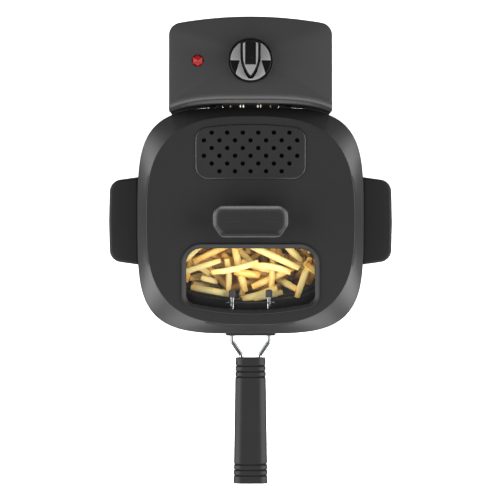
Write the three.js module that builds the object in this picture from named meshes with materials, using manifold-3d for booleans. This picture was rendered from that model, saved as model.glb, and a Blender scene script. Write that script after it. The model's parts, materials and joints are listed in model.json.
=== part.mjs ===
// A deep fryer with an immersion heater: housing, lift-out oil tank, lift-off control head that
// carries the heating element, frying basket with a long handle, and a lid with a window and a
// filter. Millimetres, +Z up, +Y towards the control head. Sizes are laid out round the middle of
// the tank, and the whole is then moved so that the origin lies under the middle of its box.
import * as THREE from "three";
import { mergeVertices } from "three/addons/utils/BufferGeometryUtils.js";
import Module from "manifold-3d";

const wasm = await Module();
wasm.setup();

// ---- Fits and facets ---------------------------------------------------------------------------
const fit = 0.3; // gap between two pieces that rest on or in each other
const running = 0.5; // gap round a piece that slides or turns
const ringSides = 40; // facets round a rounded-square piece
const roundSides = 12; // facets round a small turned piece
const wireSides = 8; // facets round a wire or tube
const bendSteps = 3; // stations in each bend of a wire or tube

// ---- Lid ---------------------------------------------------------------------------------------
const lidHalf = 125; // half the lid's width, and half its depth
const outlinePower = 4; // how square the lid, tank and housing are in plan
const lidBand = 10; // sloping band between the lid's edge and its flat top
const creasePower = 2.9; // how square the flat top is
const lidWall = 2.4;
const lidRise = 11.5; // height of the sloping band
const lidCrown = 1.2; // round edge of the flat top
const skirtLintel = 2; // skirt left standing over the rear notch
const hoodHalf = 27.5; // hood over the basket wires
const hoodReach = 2.2; // how far the hood stands out past the lid's edge
const linerWall = 1.2;
const linerInset = 3; // liner inside the crease
const linerDrop = 7; // liner's top below the lid's flat top
const windowHalf = 76; // half the window frame's width
const windowBack = -25.5; // window frame's straight back edge
const windowMargin = 21.5; // curved front edge of the window inside the lid's edge
const windowCorner = 22;
const windowFrontCorner = 15;
const windowSweep = 10; // how far its front edge bows out
const frameWidth = 5.2;
const frameDepth = 5; // frame's foot below the lid's top
const frameRest = 1.4; // breadth of the frame's rim on the lid
const frameEdge = 0.8; // height of the rim's edge
const frameCrest = 1.6; // frame's highest line over the lid
const frameSlope = 2.6; // fall of its inner slope
const paneWall = 3;
const lidGripHalf = 41.4; // half the lid handle's width
const lidGripDepth = 35.6;
const lidGripHeight = 22;
const lidGripY = -1.1;
const lidGripCorner = 12; // round rear corners
const lidGripSlant = 13; // slanted front corners: breadth, and depth
const lidGripSlantDepth = 16;
const lidGripUndercut = 6;
const lidGripStem = 6; // height of the narrow foot
const lidGripScrewX = 26;
const lidGripScrewLength = 14;
const lidGripDish = 2;

// ---- Filter in the lid -------------------------------------------------------------------------
const ventHalf = 60.7;
const ventDepth = 60.1; // front edge to the crown of the arched back edge
const ventMargin = 19.2; // that crown inside the lid's edge
const ventLedge = 1.6; // cover's recess in the lid
const ventRest = 3; // breadth of the ledge it rests on
const ventArch = 5; // rise of that arch
const ventCorner = 14;
const ventWall = 2.4;
const ventHole = 5; // diameter of a steam hole
const ventPitchX = 17.1;
const ventPitchY = 8.5;
const ventRows = [5, 6, 7, 6, 7, 6]; // holes in each row, front to back
const ventRowInset = 8.5; // first row behind the front edge
const trayDepth = 9;
const trayWall = 1.5;
const trayLip = 3;
const padHeight = 4;
const traySlotHalf = 38;
const traySlotWidth = 3;
const traySlotPitch = 9;

// ---- Housing -----------------------------------------------------------------------------------
const bodyTop = 156; // top of the collar that carries the tank and the lid
const footHeight = 8;
const footRadius = 12;
const footInset = 45; // feet stand this far inside the lid's edge, both ways
const footEdge = 1.5;
const stemRadius = 3; // stem that holds a foot in the base
const baseFloor = 3;
const baseSkirt = 16;
const baseWall = 1.8;
const shellWall = 1;
const collarInset = 1; // collar's wall stands this far inside the lid's edge
const collarWall = 3.5;
const collarHeight = 30;
const collarPlate = 4;
const handleReach = 31.7; // side handle stands out past the lid's edge
const handleHalf = 48.8; // half its length
const handleHeight = 28;
const handleTopDrop = 1.5; // handle's top below the collar's
const handleWall = 3.2;
const handleCorner = 14;
const handleTaper = 2.6; // each end draws in towards the outer edge
const handleScrewAt = 30;

// ---- Oil tank ----------------------------------------------------------------------------------
const rimGap = 2; // between the tank's rim and the lid's skirt
const rimWidth = 9.5;
const rimBead = 3.7;
const tankWall = 1.2;
const tankDepth = 119;
const tankDraft = 6.4; // how much narrower the tank is at its floor, each side
const tankFillet = 15;

// ---- Control head ------------------------------------------------------------------------------
const headHalf = 89.5;
const headDepth = 91.3; // front edge to the crown of the arched back
const headArch = 9;
const headCorner = 14;
const headGap = 7; // front edge of the top behind the lid's edge
const headFrontPower = 3.5; // its curve follows the lid
const headClear = 5; // lower wall behind the collar
const headFootPower = 3.8;
const headRise = 47; // top above the collar
const headHeight = 103;
const headWall = 2.5;
const headBackDraft = 4;
const headSideDraft = 1;
const bossInset = 17.5; // screw bosses inside the head's sides
const bossBackInset = 23.3; // and in front of its back
const headScrewLength = 16;
const headBossRadius = 4;
const knobSet = 42.6; // knob's middle behind the head's front edge
const knobRadius = 22.5;
const knobDisc = 8;
const knobRidge = 10;
const knobRidgeHalf = 9.5;
const insertHalf = 5.5;
const insertHeight = 5;
const dialRing = 1.7;
const shaftRadius = 3;
const lampInset = 31.8; // lamp inside the head's left side
const lampRadius = 6.3;
const lampHeight = 3;
const backFittings = 22; // gland and reset button inside the bosses
const glandRise = 24; // cord gland above the head's underside
const glandRadius = 9;
const cordBore = 3.6;
const resetRise = 50;
const resetRadius = 4;
const resetTravel = 2;
const resetProud = 1.5; // button past the back wall
const cutoutHalf = 11;
const cutoutGap = 10; // thermal cut-out in front of the back wall
const terminalHalf = 12;
const thermostatHalf = [17, 15];
const thermostatHeight = 26;

// ---- Heater ------------------------------------------------------------------------------------
const tubeRadius = 3.5;
const bendPast = 1; // the legs' bend ends this far behind the panel's edge
const legX = 9.6;
const panelWall = 0.8;
const panelHalf = 30;
const panelGap = 0.4; // panel in front of the tank's rear wall
const flangeWall = 1; // upright edge of the panel in front of the head
const flangeGap = 0.4; // flange in front of the head
const flangeRise = 2; // over the tubes
const elementLift = 3.8; // element above the tank's floor
const coilMargin = 13.5; // element inside the tank's flat floor
const coilSet = 32.3; // element's back run in front of its legs
const coilLoop = 30; // depth of its middle loop
const coilFrontInset = 5; // its front bends short of its half width
const bulbX = 22;
const bulbRadius = 3;
const bulbLength = 68;
const capillaryRadius = 1;
const bulbFoot = 20; // bulb above the element's plane
const clipWall = 1;
const clipHeight = 10;

// ---- Docking of the head -----------------------------------------------------------------------
const dockHalf = 46;
const dockHeight = 38;
const dockPlate = 2;
const dockLift = 6; // rails start this far above the head's underside
const dockScrewX = 18;
const dockScrewDrop = 6; // screws below the rails' top
const railX = 35;
const railNeck = 6;
const railFlange = 14;
const railFlangeWall = 3;

// ---- Basket ------------------------------------------------------------------------------------
const basketSideGap = 16; // basket to tank wall, each side
const basketFrontGap = 24.4; // and front and back
const basketPower = 3.5;
const basketDraft = 8;
const basketFillet = 10;
const meshWall = 1.5;
const basketDrop = 10; // basket's rim below the tank's rim
const oilGap = 9; // basket frame above the element
const ringWire = 2; // radius of the basket's ring wires
const basketClear = 1; // basket's rim to the heater legs
const wireRadius = 2.5; // handle wire
const wireBend = 5;
const wireX = 20.4;
const wireReach = 11.6; // inner ends of the handle wire behind the bracket
const wireRun = 8.7; // from the lid's edge to where the wires turn in
const wireNeckRun = 15.3; // and from there to the grip
const wireNeckX = 9.9;
const tipWall = 1;
const tipLength = 9;
const bracketWall = 1;
const bracketHalf = 28;
const bracketDrop = 30; // bracket's foot below the basket's rim
const bracketHead = 3; // bracket over the wires

// ---- Basket grip -------------------------------------------------------------------------------
const gripSet = 26.5; // grip's start in front of the lid's edge
const gripLength = 139.1;
const gripStartHalf = 16.65;
const gripEndHalf = 18.85;
const gripThick = 24;
const gripChamfer = 7;
const grooveDepth = 1.2;
const grooveWidth = 2.4;
const groovePitch = 6.1;
const grooveCount = 3; // at each end
const grooveInset = 9; // first groove from the grip's end
const gripBore = 32; // depth of the pocket for the wire
const gripMouth = 8; // wall at the grip's mouth, with a bore for each wire
const gripEndEdge = 1.5;
const gripScrewInset = [40, 48]; // screws from its two ends
const gripScrewLength = 14.4;
const gripScrewDepth = 18;

// ---- Fasteners ---------------------------------------------------------------------------------
const screwRadius = 2;
const screwHead = 3.8;
const screwHeadHeight = 2;

// ---- Levels and outlines that follow -----------------------------------------------------------
const windowFront = windowMargin - lidHalf;
const ventBack = lidHalf - ventMargin;
const ventFront = ventBack - ventDepth;
const ventMiddle = (ventFront + ventBack) / 2;
const footAt = lidHalf - footInset;
const rimHalf = lidHalf - lidWall - rimGap;
const rimTop = bodyTop + fit + rimBead;
const tankOuter = rimHalf - rimWidth;
const tankInner = tankOuter - tankWall;
const tankFloor = rimTop - tankDepth;
const collarHalf = lidHalf - collarInset;
const collarFoot = bodyTop - collarHeight;
const shellHalf = collarHalf - collarWall - fit;
const shellFoot = footHeight + baseFloor + fit;
const shellTop = bodyTop - collarPlate - fit;
const baseHalf = shellHalf + fit + baseWall;
const panelZ = rimTop + fit; // underside of the panel where it crosses the rim
const tubeZ = panelZ + panelWall + fit + tubeRadius; // tubes' middle over the rim
const notchTop = tubeZ + tubeRadius + 2 * running;
const lidEdge = notchTop + skirtLintel;
const lidCrease = lidEdge + lidRise;
const lidTop = lidCrease + lidCrown;
const lidUnder = lidTop - lidWall;
const linerTop = lidTop - linerDrop;
const headTop = bodyTop + headRise;
const headBottom = headTop - headHeight;
const wireZ = rimTop + fit + wireRadius;
const elementZ = tankFloor + elementLift + tubeRadius;
const basketFootZ = elementZ + tubeRadius + oilGap + ringWire;
const basketFloor = basketFootZ + ringWire + fit;
const basketTop = rimTop - basketDrop;
const basketX = tankInner - basketSideGap;
const basketY = tankInner - basketFrontGap;
const legY = basketY + fit + 2 * ringWire + basketClear + tubeRadius;
const panelY = tankInner - tankDraft - panelGap - panelWall;
const tubeBend = panelY + bendPast - legY;
const bracketY = -(basketY + fit + 2 * ringWire + fit);
const wireTip = bracketY + wireReach;
const wireKnee = -(lidHalf + wireRun);
const gripStart = -(lidHalf + gripSet);
const gripEnd = gripStart - gripLength;
const headFront = lidHalf + headGap;
const headFoot = collarHalf + headClear;
const headBack = headFront + headDepth;
const knobY = headFront + knobSet;
const lampX = lampInset - headHalf;
const bossX = headHalf - bossInset;
const bossY = headBack - bossBackInset;
const resetX = bossX - backFittings;
const glandX = -resetX;
const flangeY = headFoot - flangeWall - flangeGap;
const coilHalf = tankInner - tankDraft - tankFillet - coilMargin;
const coilBack = legY - coilSet;
const coilInner = coilBack - coilLoop;
const coilFront = coilFrontInset - coilHalf;

// ---- Materials ---------------------------------------------------------------------------------
const finish = (color, roughness, metalness = 0) =>
  new THREE.MeshStandardMaterial({ color, roughness, metalness });
const blackPlastic = finish(0x2b2b2b, 0.45);
const blackGloss = finish(0x1c1c1c, 0.25);
const greyPlastic = finish(0x4a4a4a, 0.4);
const whitePlastic = finish(0xd8d6cf, 0.5);
const brushedSteel = finish(0xb8b9ba, 0.35, 1);
const chromeWire = finish(0xd5d7d9, 0.12, 1);
const darkSteel = finish(0x5a5854, 0.4, 1);
const nonStick = finish(0x242424, 0.5, 0.2);
const copper = finish(0xb87848, 0.35, 1);
const rubber = finish(0x1a1a1a, 0.8);
const clearPane = finish(0xe8eef0, 0.05);
const redLens = finish(0xb01014, 0.15);
const filterFelt = finish(0x8a8c88, 0.95);

// ---- Solids ------------------------------------------------------------------------------------
/** The closed geometry as a manifold solid. */
function solid(geometry) {
  geometry.deleteAttribute("normal");
  geometry.deleteAttribute("uv");
  const merged = mergeVertices(geometry, 1e-4);
  return new wasm.Manifold(
    new wasm.Mesh({
      numProp: 3,
      vertProperties: new Float32Array(merged.attributes.position.array),
      triVerts: new Uint32Array(merged.index.array),
    }),
  );
}

/** The manifold solid as a geometry. */
function geometryOf(made) {
  const { vertProperties, triVerts } = made.getMesh();
  return new THREE.BufferGeometry()
    .setAttribute("position", new THREE.BufferAttribute(vertProperties, 3))
    .setIndex(new THREE.BufferAttribute(triVerts, 1));
}

const join = (first, ...rest) => rest.reduce((whole, part) => whole.add(part), first);
const cut = (first, ...rest) => rest.reduce((whole, part) => whole.subtract(part), first);

/** A box between two corners. */
function block([x0, y0, z0], [x1, y1, z1]) {
  const geometry = new THREE.BoxGeometry(x1 - x0, y1 - y0, z1 - z0);
  return solid(geometry.translate((x0 + x1) / 2, (y0 + y1) / 2, (z0 + z1) / 2));
}

/** A turned piece: [radius, height] pairs from the axis back to the axis, lowest first. */
function turned(profile, sides = roundSides) {
  const points = profile.map(([radius, height]) => new THREE.Vector2(radius, height));
  return new THREE.LatheGeometry(points, sides).rotateX(Math.PI / 2);
}

/** The profile of a plain cylinder. */
const rod = (radius, low, high) => [
  [0, low],
  [radius, low],
  [radius, high],
  [0, high],
];

/** A cylinder that stands on its axis at x, y. */
const pillar = (x, y, radius, low, high, sides = roundSides) =>
  solid(turned(rod(radius, low, high), sides).translate(x, y, 0));

/** A cylinder that lies along Y at x, z. */
const bar = (x, z, radius, y0, y1, sides = roundSides) =>
  solid(turned(rod(radius, -y1, -y0), sides).rotateX(Math.PI / 2).translate(x, 0, z));

/** A flat outline, counterclockwise, made into a plate between two heights. */
function plate(outline, low, high) {
  const shape = new THREE.Shape(outline.map(([x, y]) => new THREE.Vector2(x, y)));
  const geometry = new THREE.ExtrudeGeometry(shape, { depth: high - low, bevelEnabled: false });
  return solid(geometry.translate(0, 0, low));
}

/** A profile of [y, z] points, counterclockwise seen from +X, carried from x0 to x1. */
function folded(profile, x0, x1) {
  const shape = new THREE.Shape(profile.map(([y, z]) => new THREE.Vector2(y, z)));
  const geometry = new THREE.ExtrudeGeometry(shape, { depth: x1 - x0, bevelEnabled: false });
  return solid(geometry.rotateY(Math.PI / 2).rotateX(Math.PI / 2).translate(x0, 0, 0));
}

/** One ring of a rounded-square outline. */
function ring(halfX, halfY, power, z) {
  return Array.from({ length: ringSides }, (_, i) => {
    const angle = (2 * Math.PI * i) / ringSides;
    const [c, s] = [Math.cos(angle), Math.sin(angle)];
    const reach = (Math.abs(c / halfX) ** power + Math.abs(s / halfY) ** power) ** (-1 / power);
    return [reach * c, reach * s, z];
  });
}
const square = (half, z, power = outlinePower) => ring(half, half, power, z);

/** A skin over rings of equal count, lowest first: capped at both ends, or closed on itself. */
function skin(rings, closed = false) {
  const count = rings[0].length;
  const spans = closed ? rings.length : rings.length - 1;
  const index = [];
  for (let r = 0; r < spans; r++) {
    const low = r * count;
    const high = ((r + 1) % rings.length) * count;
    for (let i = 0; i < count; i++) {
      const next = (i + 1) % count;
      index.push(low + i, low + next, high + next, low + i, high + next, high + i);
    }
  }
  if (!closed) {
    for (const [start, up] of [[0, false], [rings.length - 1, true]]) {
      const outline = rings[start].map(([x, y]) => new THREE.Vector2(x, y));
      for (const corners of THREE.ShapeUtils.triangulateShape(outline, [])) {
        const [a, b, c] = corners.map((k) => start * count + k);
        index.push(...(up ? [a, b, c] : [a, c, b]));
      }
    }
  }
  const geometry = new THREE.BufferGeometry();
  geometry.setAttribute("position", new THREE.Float32BufferAttribute(rings.flat(2), 3));
  return solid(geometry.setIndex(index));
}

/** A rounded-square ring wire of round section. */
function hoop(halfX, halfY, power, z, radius, sides = 6) {
  const rings = Array.from({ length: sides }, (_, k) => {
    const angle = (2 * Math.PI * k) / sides;
    const out = radius * Math.cos(angle);
    return ring(halfX + out, halfY + out, power, z + radius * Math.sin(angle));
  });
  return skin(rings, true);
}

/** A path given by its stations and the direction at each. */
class BentPath extends THREE.Curve {
  constructor(points, bend) {
    super();
    this.stations = [];
    const at = points.map((p) => new THREE.Vector3(...p));
    const way = at.slice(1).map((p, i) => p.clone().sub(at[i]).normalize());
    this.stations.push([at[0], way[0]]);
    for (let i = 1; i < at.length - 1; i++) {
      const [before, after] = [way[i - 1], way[i]];
      const turn = before.angleTo(after);
      const inward = after.clone().sub(before).normalize();
      const centre = at[i].clone().addScaledVector(inward, bend / Math.cos(turn / 2));
      const axis = before.clone().cross(after).normalize();
      const start = at[i].clone().addScaledVector(before, -bend * Math.tan(turn / 2)).sub(centre);
      for (let k = 0; k <= bendSteps; k++) {
        const angle = (turn * k) / bendSteps;
        this.stations.push([
          start.clone().applyAxisAngle(axis, angle).add(centre),
          before.clone().applyAxisAngle(axis, angle),
        ]);
      }
    }
    this.stations.push([at.at(-1), way.at(-1)]);
    this.steps = this.stations.length - 1;
  }
  getPointAt(u, target = new THREE.Vector3()) {
    return target.copy(this.stations[Math.round(u * this.steps)][0]);
  }
  getTangentAt(u, target = new THREE.Vector3()) {
    return target.copy(this.stations[Math.round(u * this.steps)][1]);
  }
}

/** A wire or tube bent along straight runs with round corners. */
function bentTube(points, bend, radius, sides = wireSides) {
  const path = new BentPath(points, bend);
  const section = new THREE.Shape(
    Array.from({ length: sides }, (_, k) => {
      const angle = (2 * Math.PI * k) / sides;
      return new THREE.Vector2(radius * Math.cos(angle), radius * Math.sin(angle));
    }),
  );
  return solid(new THREE.ExtrudeGeometry(section, { extrudePath: path, steps: path.steps }));
}

/** The points of an arc, from one angle to another, in degrees. */
function arc(x, y, radius, from, to, steps = 4) {
  return Array.from({ length: steps + 1 }, (_, k) => {
    const angle = THREE.MathUtils.degToRad(from + ((to - from) * k) / steps);
    return [x + radius * Math.cos(angle), y + radius * Math.sin(angle)];
  });
}

// ---- The object, a mesh for each piece ---------------------------------------------------------
const fryer = new THREE.Group();
fryer.position.y = -(headBack + gripEnd) / 2;

function piece(name, made, material) {
  const mesh = new THREE.Mesh(made.getMesh ? geometryOf(made) : made, material);
  mesh.name = name;
  fryer.add(mesh);
  return mesh;
}

/** A pan-head screw that points up, its head bearing on height 0. */
const screw = (length) =>
  turned(
    [
      [0, -screwHeadHeight],
      [screwHead * 0.7, -screwHeadHeight],
      [screwHead, 0],
      [screwRadius, 0],
      [screwRadius, length - screwRadius],
      [0, length],
    ],
    10,
  );

// ---- Housing -----------------------------------------------------------------------------------
const corners = [
  ["front_left", -1, -1],
  ["front_right", 1, -1],
  ["rear_left", -1, 1],
  ["rear_right", 1, 1],
];
for (const [place, sx, sy] of corners) {
  const foot = turned([
    [0, 0],
    [footRadius - footEdge, 0],
    [footRadius, footEdge],
    [footRadius, footHeight - fit],
    [stemRadius, footHeight - fit],
    [stemRadius, footHeight + baseFloor + fit],
    [0, footHeight + baseFloor + fit],
  ]);
  piece(`foot_${place}`, foot.translate(sx * footAt, sy * footAt, 0), rubber);
}

const trayFloor = footHeight + baseFloor;
const baseOuter = skin([
  square(baseHalf - 2, footHeight),
  square(baseHalf, footHeight + 2),
  square(baseHalf, footHeight + baseSkirt),
]);
const basePocket = skin([
  square(shellHalf + fit, trayFloor),
  square(shellHalf + fit, footHeight + baseSkirt + 1),
]);
const stemHoles = corners.map(([, sx, sy]) =>
  pillar(sx * footAt, sy * footAt, stemRadius + fit, footHeight - 1, trayFloor + 1),
);
piece("base_tray", cut(baseOuter, basePocket, ...stemHoles), blackPlastic);

const shell = skin(
  [
    square(shellHalf, shellFoot),
    square(shellHalf, shellTop),
    square(shellHalf - shellWall, shellTop),
    square(shellHalf - shellWall, shellFoot),
  ],
  true,
);
const dockTop = headBottom + dockLift + dockHeight;
const dockScrewZ = dockTop - dockScrewDrop;
const dockPlateFront = collarHalf + fit;
const dockBack = dockPlateFront + dockPlate;
const dockHoles = [-1, 1].map((side) =>
  bar(side * dockScrewX, dockScrewZ, screwRadius + fit, shellHalf - 5, dockBack + 1),
);
piece("outer_housing", cut(shell, ...dockHoles), brushedSteel);

const collar = skin(
  [
    square(shellHalf + fit, collarFoot),
    square(collarHalf, collarFoot),
    square(collarHalf, bodyTop - 1),
    square(collarHalf - 1, bodyTop),
    square(tankOuter + 2 * running, bodyTop),
    square(tankOuter + 2 * running, bodyTop - collarPlate),
    square(shellHalf + fit, bodyTop - collarPlate),
  ],
  true,
);
const collarScrewZ = bodyTop - handleTopDrop - handleHeight / 2;
const handleScrewHoles = [-1, 1].flatMap((side) =>
  [-handleScrewAt, handleScrewAt].map((y) =>
    bar(y, collarScrewZ, screwRadius + fit, shellHalf - 3, collarHalf + 2).rotate([
      0,
      0,
      -90 * side,
    ]),
  ),
);
piece("top_collar", cut(collar, ...handleScrewHoles, ...dockHoles), blackPlastic);

/** Outline of a side handle from the collar outwards, on the +X side, drawn in by an inset. */
function handleOutline(inset) {
  const near = collarHalf + fit + inset;
  const far = lidHalf + handleReach - inset;
  const half = handleHalf - inset;
  const corner = handleCorner - inset;
  return [
    [near, -half],
    ...arc(far - corner, -half + handleTaper + corner, corner, -85, 0),
    [far + 0.8, 0],
    ...arc(far - corner, half - handleTaper - corner, corner, 0, 85),
    [near, half],
  ];
}
const handleTop = bodyTop - handleTopDrop;
const handleFoot = handleTop - handleHeight;
for (const [place, side] of [
  ["left", -1],
  ["right", 1],
]) {
  const outer = skin([
    handleOutline(0).map((p) => [...p, handleFoot]),
    handleOutline(0).map((p) => [...p, handleTop - 3]),
    handleOutline(2.5).map(([x, y]) => [x - 2.5, y, handleTop]),
  ]);
  const grasp = plate(handleOutline(handleWall), handleFoot - 1, handleTop - handleWall - 1);
  const holes = [-handleScrewAt, handleScrewAt].map((y) =>
    bar(-y, collarScrewZ, screwRadius + fit, collarHalf - 2, collarHalf + 10).rotate([0, 0, -90]),
  );
  const turn = side > 0 ? 0 : 180;
  piece(`${place}_handle`, cut(outer, grasp, ...holes).rotate([0, 0, turn]), blackPlastic);
  for (const [end, y] of [
    ["front", -handleScrewAt],
    ["rear", handleScrewAt],
  ]) {
    const held = screw(handleWall + fit + collarWall).rotateY((-Math.PI / 2) * side);
    const bearing = side * (collarHalf + 2 * fit + handleWall);
    piece(`${place}_handle_screw_${end}`, held.translate(bearing, y, collarScrewZ), darkSteel);
  }
}

const railBack = headFoot + headWall + 2 * running;
const railFoot = headBottom + dockLift;
const dockRails = [-railX, railX].flatMap((x) => [
  block([x - railNeck / 2, dockBack - 0.5, railFoot], [x + railNeck / 2, railBack + 1, dockTop]),
  block(
    [x - railFlange / 2, railBack, railFoot],
    [x + railFlange / 2, railBack + railFlangeWall, dockTop],
  ),
]);
const dock = join(
  block([-dockHalf, dockPlateFront, railFoot], [dockHalf, dockBack, dockTop]),
  ...dockRails,
);
piece("docking_bracket", cut(dock, ...dockHoles), darkSteel);
for (const [place, side] of [
  ["left", -1],
  ["right", 1],
]) {
  const held = screw(dockPlate + collarWall + shellWall + 3).rotateX(Math.PI / 2);
  held.translate(side * dockScrewX, dockBack + fit, dockScrewZ);
  piece(`docking_screw_${place}`, held, darkSteel);
}

// ---- Oil tank ----------------------------------------------------------------------------------
const tankRings = (half, floor, top, fillet) => [
  square(half - tankDraft - fillet, floor),
  square(half - tankDraft - fillet * 0.29, floor + fillet * 0.29),
  square(half - tankDraft, floor + fillet),
  square(half, top),
];
piece(
  "oil_tank",
  skin([
    ...tankRings(tankOuter, tankFloor - tankWall, bodyTop + fit, tankFillet + tankWall),
    square(rimHalf - 1, bodyTop + fit),
    square(rimHalf, bodyTop + fit + 1),
    square(rimHalf, rimTop - 1),
    square(rimHalf - 1, rimTop),
    square(tankOuter, rimTop),
    ...tankRings(tankInner, tankFloor, rimTop - 1.5, tankFillet).reverse(),
  ]),
  nonStick,
);

// ---- Control head ------------------------------------------------------------------------------
/** Outline of the head: curved front, straight sides, round rear corners and arched back. */
function headOutline(inset, frontHalf, frontPower, sideIn, backIn) {
  const half = headHalf - inset - sideIn;
  const back = headBack - inset - backIn;
  const bow = (headArch ** 2 + headHalf ** 2) / (2 * headArch) - inset;
  const corner = headCorner - Math.min(inset, headCorner / 2);
  const middle = back - bow;
  const cornerX = half - corner;
  const cornerY = middle + Math.sqrt((bow - corner) ** 2 - cornerX ** 2);
  const lean = THREE.MathUtils.radToDeg(Math.atan2(cornerY - middle, cornerX));
  const reach = frontHalf + inset;
  const front = Array.from({ length: 13 }, (_, k) => {
    const x = half * (k / 6 - 1);
    return [x, reach * (1 - Math.abs(x / reach) ** frontPower) ** (1 / frontPower)];
  });
  return [
    ...front,
    ...arc(cornerX, cornerY, corner, 0, lean, 4),
    ...arc(0, middle, bow, lean, 180 - lean, 8).slice(1, -1),
    ...arc(-cornerX, cornerY, corner, 180 - lean, 180, 4),
  ];
}
const level = (z, ...outline) => headOutline(...outline).map((p) => [...p, z]);
const headSkin = (inset, low, high) =>
  skin([
    level(low, inset, headFoot, headFootPower, headSideDraft, headBackDraft),
    level(headTop - 22, inset, headFoot, headFootPower, headSideDraft / 2, headBackDraft / 2),
    level(headTop - 5 - inset, inset, headFront, headFrontPower, 0, 0),
    level(headTop - 1.5 - inset, inset + 1.2, headFront, headFrontPower, 0, 0),
    level(high, inset + 3.5, headFront, headFrontPower, 0, 0),
  ]);
const tubeSlot = block(
  [-bulbX - 3, headFoot - 4, tubeZ - tubeRadius - running],
  [bulbX + 3, headFront + 8, tubeZ + tubeRadius + running],
);
const railSlots = [-railX, railX].map((x) =>
  block(
    [x - railNeck / 2 - running, headFoot - 12, headBottom - 1],
    [x + railNeck / 2 + running, headFoot + headWall + 3, dockTop + running],
  ),
);
const bosses = [-bossX, bossX].map((x) =>
  pillar(x, bossY, headBossRadius, headBottom + headWall + fit, headTop - 2, 10),
);
const bossBores = [-bossX, bossX].map((x) =>
  pillar(x, bossY, screwRadius + fit, headBottom, headBottom + 18, 10),
);
const glandZ = headBottom + glandRise;
const resetZ = headBottom + resetRise;
const headOpenings = [
  tubeSlot,
  ...railSlots,
  ...bossBores,
  pillar(0, knobY, shaftRadius + running, headTop - 8, headTop + 1),
  pillar(lampX, knobY, lampRadius + fit, headTop - 8, headTop + 1),
  bar(glandX, glandZ, glandRadius + fit, headBack - 20, headBack + 5, 16),
  bar(resetX, resetZ, resetRadius + running, headBack - 20, headBack + 5),
];
const headShell = join(
  cut(headSkin(0, headBottom, headTop), headSkin(headWall, headBottom - 1, headTop - headWall)),
  ...bosses,
);
piece("head_cover", cut(headShell, ...headOpenings), blackPlastic);

const headFloor = headOutline(headWall + fit, headFoot, headFootPower, headSideDraft, headBackDraft);
const railNotches = [-railX, railX].map((x) =>
  block(
    [x - railFlange / 2 - running, headFoot - 5, headBottom - 1],
    [x + railFlange / 2 + running, railBack + railFlangeWall + running, headBottom + headWall + 1],
  ),
);
const floorHoles = [-bossX, bossX].map((x) =>
  pillar(x, bossY, screwRadius + fit, headBottom - 1, headBottom + headWall + 1, 10),
);
const headBase = cut(plate(headFloor, headBottom, headBottom + headWall), ...railNotches, ...floorHoles);
piece("head_base", headBase, blackPlastic);
piece("head_screw_left", screw(headScrewLength).translate(-bossX, bossY, headBottom - fit), darkSteel);
piece("head_screw_right", screw(headScrewLength).translate(bossX, bossY, headBottom - fit), darkSteel);

const dial = cut(
  pillar(0, knobY, knobRadius + running + dialRing, headTop + fit, headTop + fit + 1.2, 32),
  pillar(0, knobY, knobRadius + running, headTop, headTop + 3, 32),
);
piece("dial_ring", dial, blackGloss);

const lensFoot = headTop - 6;
piece(
  "pilot_lens",
  turned([
    [0, lensFoot],
    [lampRadius, lensFoot],
    [lampRadius, headTop + 0.6],
    [lampRadius - 2.2, headTop + lampHeight],
    [0, headTop + lampHeight],
  ], 12).translate(lampX, knobY, 0),
  redLens,
);
piece("lamp_holder", pillar(lampX, knobY, lampRadius - 1, lensFoot - 20, lensFoot - fit), whitePlastic);

const thermostatTop = headTop - headWall - fit;
const [thermostatX, thermostatY] = thermostatHalf;
const thermostat = block(
  [-thermostatX, knobY - thermostatY, thermostatTop - thermostatHeight],
  [thermostatX, knobY + thermostatY, thermostatTop],
);
const shaftFoot = thermostatTop - 8;
const shaftBore = pillar(0, knobY, shaftRadius + fit, shaftFoot - fit, thermostatTop + 1);
piece("thermostat", cut(thermostat, shaftBore), whitePlastic);

const gland = join(
  bar(glandX, glandZ, glandRadius, headBack - 14, headBack - headBackDraft - 0.8, 16),
  bar(glandX, glandZ, glandRadius + 2, headBack - 14, headBack - headBackDraft - headArch - 1, 16),
);
piece("cord_gland", cut(gland, bar(glandX, glandZ, cordBore, headBack - 30, headBack + 5)), rubber);

const backWall = headBack - headBackDraft - headArch;
piece(
  "terminal_block",
  block(
    [glandX - terminalHalf, backWall - 34, headBottom + 6],
    [glandX + terminalHalf, backWall - 12, headBottom + 22],
  ),
  whitePlastic,
);
piece(
  "thermal_cutout",
  block(
    [resetX - cutoutHalf, backWall - cutoutGap - 16, resetZ - cutoutHalf],
    [resetX + cutoutHalf, backWall - cutoutGap, resetZ + cutoutHalf],
  ),
  blackGloss,
);
piece(
  "safety_switch",
  block([railX - 10, railBack, dockTop + 3], [railX + 10, railBack + 11, dockTop + 19]),
  blackGloss,
);
// ---- Heater ------------------------------------------------------------------------------------
const headInside = headFoot + headWall + 5;
const leg = (side) => [
  [side * legX, headInside, tubeZ],
  [side * legX, legY, tubeZ],
  [side * legX, legY, elementZ],
];
const meander = (side) => [
  [side * legX, coilBack, elementZ],
  [side * coilHalf, coilBack, elementZ],
  [side * coilHalf, coilFront, elementZ],
  [side * coilHalf * 0.6, coilFront, elementZ],
  [side * coilHalf * 0.6, coilInner, elementZ],
  [side * coilHalf * 0.2, coilInner, elementZ],
  [side * coilHalf * 0.2, coilFront, elementZ],
];
piece(
  "heating_element",
  bentTube(
    [...leg(-1), ...meander(-1), ...meander(1).reverse(), ...leg(1).reverse()],
    tubeBend,
    tubeRadius,
  ),
  darkSteel,
);

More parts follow.
